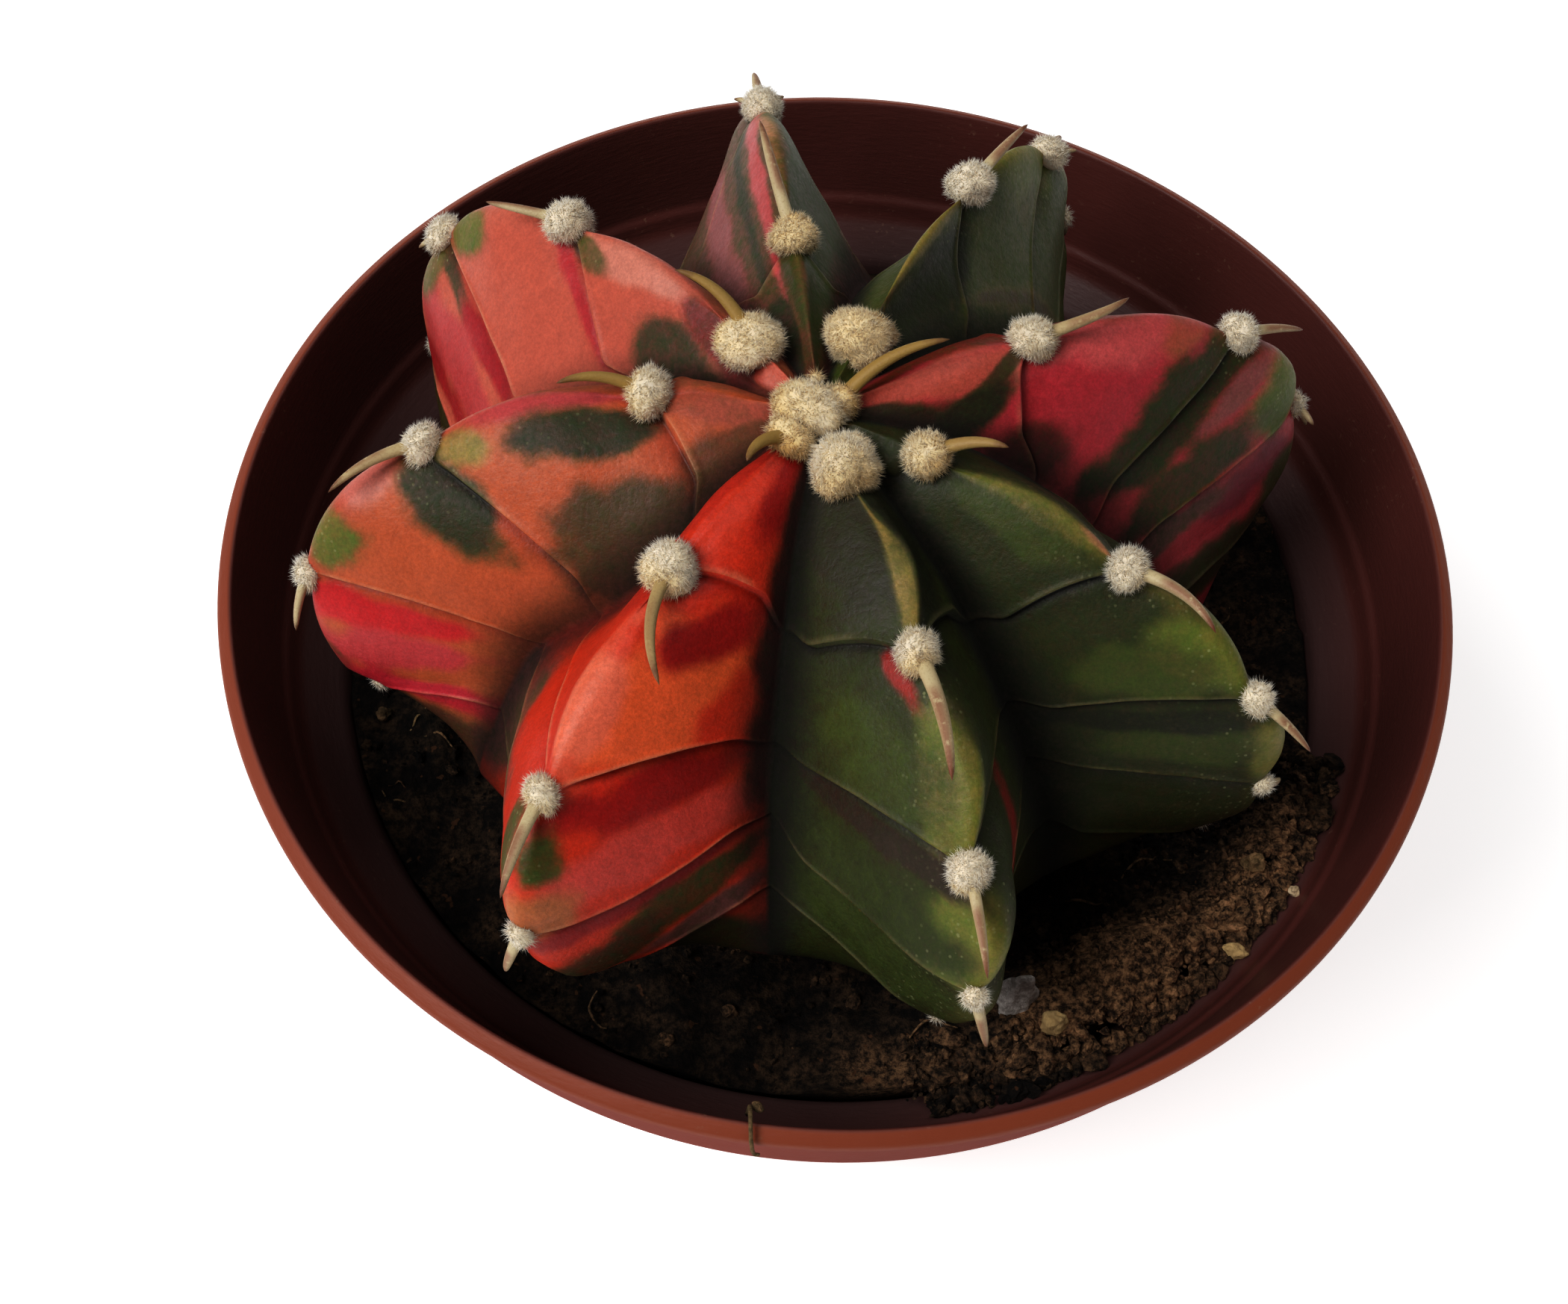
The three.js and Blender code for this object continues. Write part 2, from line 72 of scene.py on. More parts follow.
ROOT_RADIUS, ROOT_TIP_RADIUS, ROOT_DEPTH = 4.5, 2.7, 11
CREST_SWELL, WOOL_SEAT, CREST_WIDTH = 0.3, 0.35, 0.45
TWIST_LEVEL, TWIST_SPREAD = 25, 30

# Each rib leans from its azimuth at the crown to its azimuth at the belly. Its flanks swell by plump.
# valley turns the groove after it at the belly, and twist turns it nearer the crown. sway moves the crest
# to one side between the areoles, and blunt rounds it. Each areole has a level and the radius of its wool.
# A crease runs from it to the groove, arched up on the way and sunk or raised at its end. A spine rises
# from the crest by lift, points sideways by turn, and is bent sideways by hook at its tip and bow halfway.
Areole = namedtuple("Areole", "level wool arch sink spines")
Spine = namedtuple("Spine", "length lift turn hook thick bow", defaults=(0.0, 1.0, 0.0))
Rib = namedtuple("Rib", "name crown belly reach tuck drop plump valley twist sway blunt areoles")
RIBS = [
    Rib("A", -129, -115, 1, 0.26, 8, 0.5, 0, 0, 0, 0.13, [
        Areole(2.2, 0.95, 0, 3, [Spine(3.4, 25, -4, 0.2, 0.9, -0.35)]),
        Areole(18, 1.26, 0, 10.5, [Spine(6.3, 15, 30, 0.5, 0.8, -0.4)]),
        Areole(48, 0.8, 2.7, 3.5, [Spine(4.9, 25, 5, 0.2, 0.8)]),
        Areole(72, 0.58, -1, -3, [Spine(4, 12, -24, 0, 0.75)]),
        Areole(99, 0.35, 1, 0, []),
    ]),
    Rib("B", -67, -73, 1, 0.22, 9.5, 0.2, 3, 0, 0.9, 0.13, [
        Areole(4, 1.7, 0, 4, []),
        Areole(23, 1.05, 0.3, 13, [Spine(6.6, 15, -7, 0.1, 0.95, 0.3)]),
        Areole(50, 0.94, 2.2, 5.5, [Spine(4.6, 20, -4, 0, 0.7)]),
        Areole(72, 0.58, 0.5, 8, [Spine(3.9, 15, 15, 0, 0.7)]),
        Areole(96, 0.25, 3, 4, []),
    ]),
    Rib("C", -23, -28, 0.95, 0.1, 10.5, 0.2, 0, 0, 0.4, 0.13, [
        Areole(8, 1.15, 0, 5, [Spine(3.9, 25, 21, -0.1, 0.9, 0.3)]),
        Areole(32, 1.02, 0.8, 10.5, [Spine(5, 20, -8, -0.5, 0.85, 0.3)]),
        Areole(61, 0.8, 3.2, 2.5, [Spine(3.6, 20, 0, 0, 0.7)]),
        Areole(85, 0.5, 4, -1.5, [Spine(2.4, 15, 48, 0, 0.7)]),
        Areole(108, 0.35, 2, 0, []),
    ]),
    Rib("D", 30, 21, 1.01, 0.08, 10.8, 0.4, 0, 0, 0, 0.13, [
        Areole(0.8, 0.8, 0, 3, [Spine(5.9, 20, -5, 0.2, 0.9, 0.6)]),
        Areole(19, 1.2, 1, 14.5, [Spine(4.9, 20, -12, 0.9, 0.85)]),
        Areole(52, 0.98, 1, 0, [Spine(4.4, 15, 7, 0, 0.75)]),
        Areole(80, 0.6, 3.5, -8, [
            Spine(2.3, 22, 2, 0, 0.8),
            Spine(1.5, 20, -75, 0, 0.7),
            Spine(1.3, 35, 60, 0, 0.7),
        ]),
        Areole(104, 0.4, 2, 0, [Spine(1.4, 20, -30, 0, 0.7)]),
    ]),
    Rib("E", 69, 61, 1.03, 0.08, 10.5, -0.6, 0, 0, 0, 0.2, [
        Areole(6, 1.6, 0, 5, []),
        Areole(33, 1.18, 3, 5, [Spine(5, 20, -9, 0.1, 0.8)]),
        Areole(65, 0.97, 5, 2, [Spine(2.6, 28, 15, 0, 0.8), Spine(1.5, 30, -70, 0, 0.7)]),
        Areole(88, 0.55, 3, 0, [Spine(2, 20, 0, 0, 0.8)]),
        Areole(109, 0.4, 1, 0, []),
    ]),
    Rib("F", 99, 99, 1.015, 0.08, 9.5, -0.1, 0, 0, 0, 0.32, [
        Areole(2, 0.35, 0, 3, []),
        Areole(18, 1.16, 0, 9, [Spine(6.5, 22, 8, 0.2, 0.85, 0.2)]),
        Areole(61, 1.13, 3, 3, [
            Spine(4, 28, 0, 0, 0.8),
            Spine(1.6, 20, 70, 0, 0.7),
            Spine(1.5, 20, -70, 0, 0.7),
        ]),
        Areole(89, 0.55, 3, 0, [Spine(2.4, 20, 10, 0, 0.8)]),
        Areole(112, 0.4, 1, 0, []),
    ]),
    Rib("G", 131, 144, 1, 0.09, 8, 0.1, 0, 0, 0, 0.13, [
        Areole(7, 1.36, 0, 4, [Spine(4.9, 25, 10, 0.2, 0.9, -0.5)]),
        Areole(36, 1.14, 1.5, 4, [Spine(4.1, 20, 36, -0.5, 0.8)]),
        Areole(70, 0.95, 5, -2, [Spine(3.2, 26, -42, 0, 0.8), Spine(1.6, 20, 30, 0, 0.7)]),
        Areole(100, 0.5, 2, 0, [Spine(1.8, 20, 0, 0, 0.8)]),
        Areole(123, 0.4, 0, 0, []),
    ]),
    Rib("H", 172, 196, 0.955, 0.24, 4, 0.4, -9, 20, 0, 0.13, [
        Areole(0.4, 1.3, 0, 3, []),
        Areole(13, 1.18, 0, 7.5, [Spine(4.4, 20, 4, 0.2, 0.85, -0.4)]),
        Areole(41, 0.92, 1, 4, [Spine(4.6, 20, 20, 0.2, 0.85, -0.2)]),
        Areole(72, 0.65, 4, -6, [Spine(2.6, 20, 24, 0, 0.8)]),
        Areole(100, 0.45, 4, -2, []),
    ]),
]
RIB_COUNT = len(RIBS)


def smooth(x, low, high):
    share = np.clip((x - low) / (high - low), 0, 1)
    return share * share * (3 - 2 * share)


def blend(a, b, share):
    return a + (b - a) * share


def bell(x):
    return np.exp(-(x**2))


def within(x, rise, fall):
    """1 between two ranges, where it rises from 0 and falls back to it."""
    return smooth(x, *rise) * (1 - smooth(x, *fall))


def together(*values):
    """Values side by side, along the last axis of one array."""
    return np.stack(np.broadcast_arrays(*values), axis=-1)


def polar(radius, azimuth, z):
    return together(radius * np.cos(azimuth), radius * np.sin(azimuth), z)


def unit(vectors):
    return vectors / np.maximum(np.linalg.norm(vectors, axis=-1, keepdims=True), 1e-9)


def rough(points, size, octaves, seed):
    """Fractal noise at points, about -1 to 1, whose largest lumps are about size across."""
    shift = Vector((17.3 * seed, 5.1 * seed, 9.7 * seed))
    flat = np.asarray(points).reshape(-1, 3) / size
    values = [noise.fractal(Vector(p) + shift, 1.0, 2.0, octaves) for p in flat]
    return np.array(values).reshape(np.shape(points)[:-1])


# Meshes from arrays
def ring_faces(rows, columns, inside_out=False):
    """Quads between rings of points, and triangles to a point before the first and one after the last."""
    across = np.arange(columns)
    beside = (across + 1) % columns
    ring = 1 + np.arange(rows - 1)[:, None] * columns
    lower = ring + columns
    quads = together(ring + across, lower + across, lower + beside, ring + beside).reshape(-1, 4)
    last = 1 + rows * columns
    lowest = last - columns
    fans = together(0, 1 + across, 1 + beside), together(lowest + beside, lowest + across, last)
    triangles = np.concatenate(fans)
    return (quads[:, ::-1], triangles[:, ::-1]) if inside_out else (quads, triangles)


def close_rings(first, rings, last, inside_out=False):
    """Points and faces of a closed surface: rings of points between two end points."""
    rings = np.asarray(rings)
    points = np.concatenate([[first], rings.reshape(-1, 3), [last]])
    return points, ring_faces(*rings.shape[:2], inside_out)


def add_object(name, points, faces, material, smoothed=True):
    """A mesh object of points in millimetres and of arrays of triangles or quads."""
    mesh = bpy.data.meshes.new(name)
    loops = np.concatenate([np.asarray(part).ravel() for part in faces])
    totals = np.concatenate([np.full(len(part), np.shape(part)[1]) for part in faces])
    mesh.vertices.add(len(points))
    mesh.vertices.foreach_set("co", (np.asarray(points, np.float32) * MM).ravel())
    mesh.loops.add(len(loops))
    mesh.loops.foreach_set("vertex_index", loops.astype(np.int32))
    mesh.polygons.add(len(totals))
    starts = np.concatenate([[0], np.cumsum(totals)[:-1]])
    mesh.polygons.foreach_set("loop_start", starts.astype(np.int32))
    mesh.polygons.foreach_set("loop_total", totals.astype(np.int32))
    mesh.polygons.foreach_set("use_smooth", np.full(len(totals), smoothed))
    mesh.update(calc_edges=True)
    mesh.materials.append(material)
    shown = bpy.data.objects.new(name, mesh)
    bpy.context.scene.collection.objects.link(shown)
    return shown


def add_values(shown, name, colours):
    """Stores a colour for each point of a mesh, for its material to read."""
    opaque = np.concatenate([colours, np.ones((len(colours), 1))], axis=1)
    layer = shown.data.color_attributes.new(name, "FLOAT_COLOR", "POINT")
    layer.data.foreach_set("color", opaque.astype(np.float32).ravel())


class Parts:
    """Gathers many small closed shapes into the points, faces and colours of one mesh."""

    def __init__(self):
        self.points, self.quads, self.triangles, self.values = [], [], [], []
        self.count = 0

    def add(self, points, quads=None, triangles=None, *, value):
        for kept, faces in ((self.quads, quads), (self.triangles, triangles)):
            if faces is not None:
                kept.append(np.asarray(faces) + self.count)
        self.points.append(points)
        self.values.append(np.broadcast_to(value, (len(points), 3)))
        self.count += len(points)

    def make(self, name, material, smoothed=True):
        faces = [np.concatenate(kept) for kept in (self.quads, self.triangles) if kept]
        shown = add_object(name, np.concatenate(self.points), faces, material, smoothed)
        add_values(shown, "marks", np.concatenate(self.values))
        return shown


def sweep(paths, radii, sides, turn_from, flat=1.0):
    """Closed tubes with pointed ends along many paths of equal length, as points, quads and triangles."""
    paths = np.asarray(paths, float)
    count, rows = paths.shape[:2]
    along = unit(np.gradient(paths, axis=1))
    across = unit(np.cross(along, np.asarray(turn_from)[:, None]))
    over = np.cross(across, along)
    turns = np.linspace(0, 2 * np.pi, sides, endpoint=False)[:, None]
    ring = np.cos(turns) * across[:, :, None] + flat * np.sin(turns) * over[:, :, None]
    body = paths[:, :, None] + ring * np.asarray(radii)[:, :, None, None]
    points = np.concatenate([paths[:, :1], body.reshape(count, -1, 3), paths[:, -1:]], axis=1)
    shift = np.arange(count)[:, None, None] * points.shape[1]
    quads, triangles = (faces + shift for faces in ring_faces(rows, sides))
    return points.reshape(-1, 3), quads.reshape(-1, 4), triangles.reshape(-1, 3)


# Materials
def srgb(red, green, blue):
    """A colour as seen on a screen, 0 to 255, as the linear numbers that shaders use."""
    seen = np.array((red, green, blue)) / 255
    return tuple(np.where(seen <= 0.04045, seen / 12.92, ((seen + 0.055) / 1.055) ** 2.4))


class Shader:
    """A material and short ways to build its nodes. An input is a value or another node's output."""

    def __init__(self, name, **settings):
        self.material = bpy.data.materials.new(name)
        self.material.use_nodes = True
        self.tree = self.material.node_tree
        self.surface = self.tree.nodes["Principled BSDF"]
        for label, value in settings.items():
            self.surface.inputs[label.replace("_", " ")].default_value = value

    def node(self, kind, inputs=(), **properties):
        made = self.tree.nodes.new("ShaderNode" + kind)
        for key, value in properties.items():
            setattr(made, key, value)
        for key, value in dict(inputs).items():
            self.feed(made.inputs[key], value)
        return made

    def feed(self, socket, value):
        if isinstance(value, bpy.types.NodeSocket):
            self.tree.links.new(value, socket)
        elif isinstance(value, tuple) and len(value) == 3 and socket.type == "RGBA":
            socket.default_value = (*value, 1)
        else:
            socket.default_value = value

    def place(self):
        return self.node("TexCoord").outputs["Object"]

    def noise(self, size, detail, roughness=0.55, stretch=None):
        """Noise from 0 to 1 with lumps about size millimetres across."""
        where = self.place()
        if stretch:
            where = self.node("Mapping", {"Vector": where, "Scale": stretch}).outputs[0]
        inputs = {"Vector": where, "Scale": 1 / (size * MM), "Detail": detail, "Roughness": roughness}
        return self.node("TexNoise", inputs).outputs["Fac"]

    def ramp(self, value, low, high):
        inputs = {"Value": value, "From Min": low, "From Max": high}
        return self.node("MapRange", inputs, interpolation_type="SMOOTHSTEP").outputs[0]

    def maths(self, operation, a, b, clamped=False):
        return self.node("Math", {0: a, 1: b}, operation=operation, use_clamp=clamped).outputs[0]

    def times(self, value, *factors):
        for factor in factors:
            value = self.maths("MULTIPLY", value, factor)
        return value

    def plus(self, a, b, clamped=False):
        return self.maths("ADD", a, b, clamped)

    def minus(self, a, b):
        return self.maths("SUBTRACT", a, b)

    def swing(self, value, width):
        """A value from 0 to 1 as one that swings about zero, as wide as width in all."""
        return self.times(self.minus(value, 0.5), width)

    def spread(self, value, low, high):
        """A value from 0 to 1 as one from low to high."""
        return self.node("MapRange", {"Value": value, "To Min": low, "To Max": high}).outputs[0]

    def darken(self, colour, shade, share=1.0):
        return self.mix(share, colour, shade, "MULTIPLY")

    def mix(self, share, a, b, way="MIX"):
        made = self.node("Mix", data_type="RGBA", blend_type=way)
        for key, value in (("Factor_Float", share), ("A_Color", a), ("B_Color", b)):
            self.feed(next(s for s in made.inputs if s.identifier == key), value)
        return next(s for s in made.outputs if s.identifier == "Result_Color")

    def marks(self, name="marks"):
        """The colour stored in the mesh, and its three channels."""
        stored = self.node("Attribute", attribute_name=name)
        parts = self.node("SeparateColor", {0: stored.outputs["Color"]})
        return stored.outputs["Color"], parts.outputs

    def finish(self, colour, roughness=None, bumps=()):
        """Colours the surface, and gives it bumps from pairs of a height and its depth in millimetres."""
        self.feed(self.surface.inputs["Base Color"], colour)
        if roughness is not None:
            self.feed(self.surface.inputs["Roughness"], roughness)
        below = {}
        for height, depth in bumps:
            bump = self.node("Bump", {"Height": height, "Distance": depth * MM, **below})
            below = {"Normal": bump.outputs[0]}
        for key, normal in below.items():
            self.feed(self.surface.inputs[key], normal)
        return self.material


# The plant's skin: ribs with sharp crests, banded flanks and deep grooves
def rib_azimuth(rib, level):
    return np.radians(rib.crown + (rib.belly - rib.crown) * level / 90)


def rib_side(rib, level):
    """The direction across a rib, towards the next one."""
    return polar(1.0, rib_azimuth(rib, level) + np.pi / 2, 0)


def crest_point(rib, level):
    angle = np.radians(np.maximum(0, level))
    tuck = 1 - rib.tuck * np.maximum(0, angle - math.radians(TUCK_FROM))
    radius = CREST_RADIUS * rib.reach * tuck * np.sin(angle) ** CREST_SPREAD
    height = np.abs(np.cos(angle))
    z = CREST_BELLY + np.where(level < 90, CREST_RISE * height**CREST_DOME, -rib.drop * height)
    return PLANT + polar(radius, rib_azimuth(rib, level), z)


def groove_point(rib, beyond, level):
    angle = np.radians(np.maximum(0, level))
    caught = CATCH_UP * np.maximum(0, angle - math.radians(CATCH_UP_LEVEL)) ** 2
    shifted = angle - GROOVE_LAG * angle**2 + caught
    wrap = 2 * np.pi if beyond.crown < rib.crown - 180 else 0
    lean = np.radians(rib.valley * level / 90 + rib.twist * bell((level - TWIST_LEVEL) / TWIST_SPREAD))
    azimuth = (rib_azimuth(rib, level) + rib_azimuth(beyond, level) + wrap) / 2 + lean
    radius = GROOVE_RADIUS * (rib.reach + beyond.reach) * np.maximum(0, np.sin(shifted)) / 2
    height = np.cos(shifted)
    drop = GROOVE_DROP_SHARE * (rib.drop + beyond.drop) / 2
    z = GROOVE_BELLY + np.where(height > 0, GROOVE_RISE * np.abs(height) ** GROOVE_DOME, drop * height)
    crests = [crest_point(each, level) - PLANT for each in (rib, beyond)]
    crest_radius = sum(np.hypot(c[..., 0], c[..., 1]) for c in crests) / 2
    under = UNDER_SHARE * smooth(level, UNDER_FROM, UNDER_TO)
    under_z = blend(z, (crests[0][..., 2] + crests[1][..., 2]) / 2, under)
    return PLANT + polar(blend(radius, UNDER_DEPTH * crest_radius, under), azimuth, under_z)


def flank_point(index, side, reach, level):
    """Points of one flank, where reach runs from 0 on the crest to 1 in the groove."""
    rib = RIBS[index]
    beyond = RIBS[(index + side) % RIB_COUNT]
    groove = groove_point(rib, beyond, level) if side > 0 else groove_point(beyond, rib, level)
    crest = crest_point(rib, level)
    sideways = rib_side(rib, level)
    fall = groove - crest
    lateral = np.sum(fall * sideways, axis=-1, keepdims=True) * sideways
    reach = np.asarray(reach)[..., None]
    rounded = (np.hypot(reach, rib.blunt) - rib.blunt) / (math.hypot(1, rib.blunt) - rib.blunt)
    return crest + lateral * reach + (fall - lateral) * rounded


def flank_normal(index, side, reach, level):
    step = 0.02
    start = np.clip(reach - step / 2, 0.0, 1 - step)
    along = flank_point(index, side, reach, level + 1) - flank_point(index, side, reach, level - 1)
    across = flank_point(index, side, start + step, level) - flank_point(index, side, start, level)
    return unit(np.cross(along, across) * side)


def areole_frame(rib, level):
    """Directions at an areole: down the rib, to its side and off its crest."""
    level = float(level)
    down = unit(crest_point(rib, level + 0.1) - crest_point(rib, level - 0.1))
    sideways = rib_side(rib, level)
    return down, sideways, unit(np.cross(down, sideways))


COLUMNS_PER_FLANK = 30
ROWS_PER_BAND = 34
CROWN_ROWS = 5
STEP_LEVEL = 0.5
SHARED_FROM = 0.8
BAND_STEP = 0.32
LINE_HEIGHT, LINE_WIDTH = 0.08, 0.28
FURROW_DEPTH, FURROW_WIDTH = 0.09, 0.5
UNDULATION, UNDULATION_SIZE = 0.14, 4.0
RELIEF_LEVELS = (2, 14), (125, 160)
LEVEL_LENGTH = 0.42


def crease_level(rib, k, reach):
    """The level at which the crease below areole k crosses a flank, at each reach from the crest."""
    if k == len(rib.areoles):
        return np.full_like(reach, LAST_LEVEL)
    areole = rib.areoles[k]
    return areole.level + areole.sink * reach**2 - areole.arch * 4 * reach * (1 - reach)


def band_shares():
    """Where the rows lie in a band, closer together near the creases at its ends."""
    even = np.linspace(0, 1, ROWS_PER_BAND)
    return blend(even, (1 - np.cos(np.pi * even)) / 2, 0.6)


def rib_rows(rib, reach):
    """Levels and shares of the band of each row of a rib, at each reach from the crest."""
    top = crease_level(rib, 0, reach)
    shares = np.linspace(0.25, 0.95, CROWN_ROWS)
    levels = [top * share for share in shares]
    bands = list(shares)
    for k in range(len(rib.areoles)):
        start = crease_level(rib, k, reach) + STEP_LEVEL
        end = crease_level(rib, k + 1, reach)
        for share in band_shares():
            levels.append(blend(start, end, share))
            bands.append(share)
    return np.array(levels), np.array(bands)[:, None]


def across_flank(reach, full_from, loss):
    """How strongly creases show across a flank: not on the crest, and less by loss in the groove."""
    return smooth(reach, 0.03, full_from) * (1 - loss * smooth(reach, SHARED_FROM, 1))


def skin_relief(rib, reach, level, band, length, lumps):
    """How far the skin stands off the smooth flank. Each band is proud of the next one down."""
    wool = np.interp(level, [a.level for a in rib.areoles], [a.wool for a in rib.areoles])
    between = np.sin(np.pi * band)
    crest = (CREST_SWELL * between - WOOL_SEAT * wool * (1 - between)) * bell(reach / CREST_WIDTH)
    flank = rib.plump * np.sin(np.pi * reach)
    line = LINE_HEIGHT * bell((1 - band) * length / LINE_WIDTH)
    furrow = FURROW_DEPTH * bell(band * length / FURROW_WIDTH)
    step = BAND_STEP * (band - 0.5) + line - furrow
    crossing = across_flank(reach, 0.3, 0.75)
    return crest + flank + crossing * step + UNDULATION * lumps * smooth(reach, 0.02, 0.2)


def flank_rows(index, side):
    """One flank's points and what its colours need, as arrays of rows by reaches from the crest."""
    rib, beyond = RIBS[index], RIBS[(index + side) % RIB_COUNT]
    reach = np.linspace(0, 1, COLUMNS_PER_FLANK + 1)
    levels, band = rib_rows(rib, reach)
    beside, _ = rib_rows(beyond, reach)
    level = blend(levels, (levels + beside) / 2, smooth(reach, SHARED_FROM, 1)[None, :])
    reach = np.broadcast_to(reach, level.shape)
    band = np.broadcast_to(band, level.shape)
    starts = np.array([areole.level for areole in rib.areoles] + [LAST_LEVEL])
    which = np.clip(np.searchsorted(starts, level[:, :1]) - 1, 0, len(starts) - 2)
    length = np.broadcast_to((starts[which + 1] - starts[which]) * LEVEL_LENGTH, level.shape)
    plain = flank_point(index, side, reach, level)
    lumps = rough(plain, UNDULATION_SIZE, 2, seed=3)
    fade = within(level, *RELIEF_LEVELS)
    relief = skin_relief(rib, reach, level, band, length, lumps) * fade
    sway = rib.sway * np.sin(np.pi * band) * bell(reach / CREST_WIDTH) * fade
    points = plain + flank_normal(index, side, reach, level) * relief[..., None]
    points = points + rib_side(rib, level) * sway[..., None]
    return points, reach, level, band, length


# The colours of the skin. Green tissue covers a ground of red and yellow tissue, more or less of it from
# place to place, and is fresher in some places than in others. A coat has a ground, a share of green, how
# fresh that is, the colour of the painted highlight on its crest with its share, and patches that change
# all these where they lie.
# across is 0 on the crest, -1 and 1 in the grooves. wide is a share of a flank, tall is in degrees, and
# lean draws a patch down its flank.
SCARLET = srgb(230, 68, 36)
DEEP_RED = srgb(180, 32, 26)
CRIMSON = srgb(186, 30, 40)
SALMON = srgb(214, 108, 84)
ORANGE = srgb(208, 106, 62)
PINK = srgb(212, 92, 92)
PALE_PINK = srgb(226, 146, 126)
MAUVE = srgb(176, 98, 98)
STRAW = srgb(200, 160, 92)
BROWN = srgb(110, 60, 44)
DARK_GREEN = srgb(39, 41, 19)
FRESH_GREEN = srgb(106, 126, 46)
WHITE = srgb(255, 255, 255)

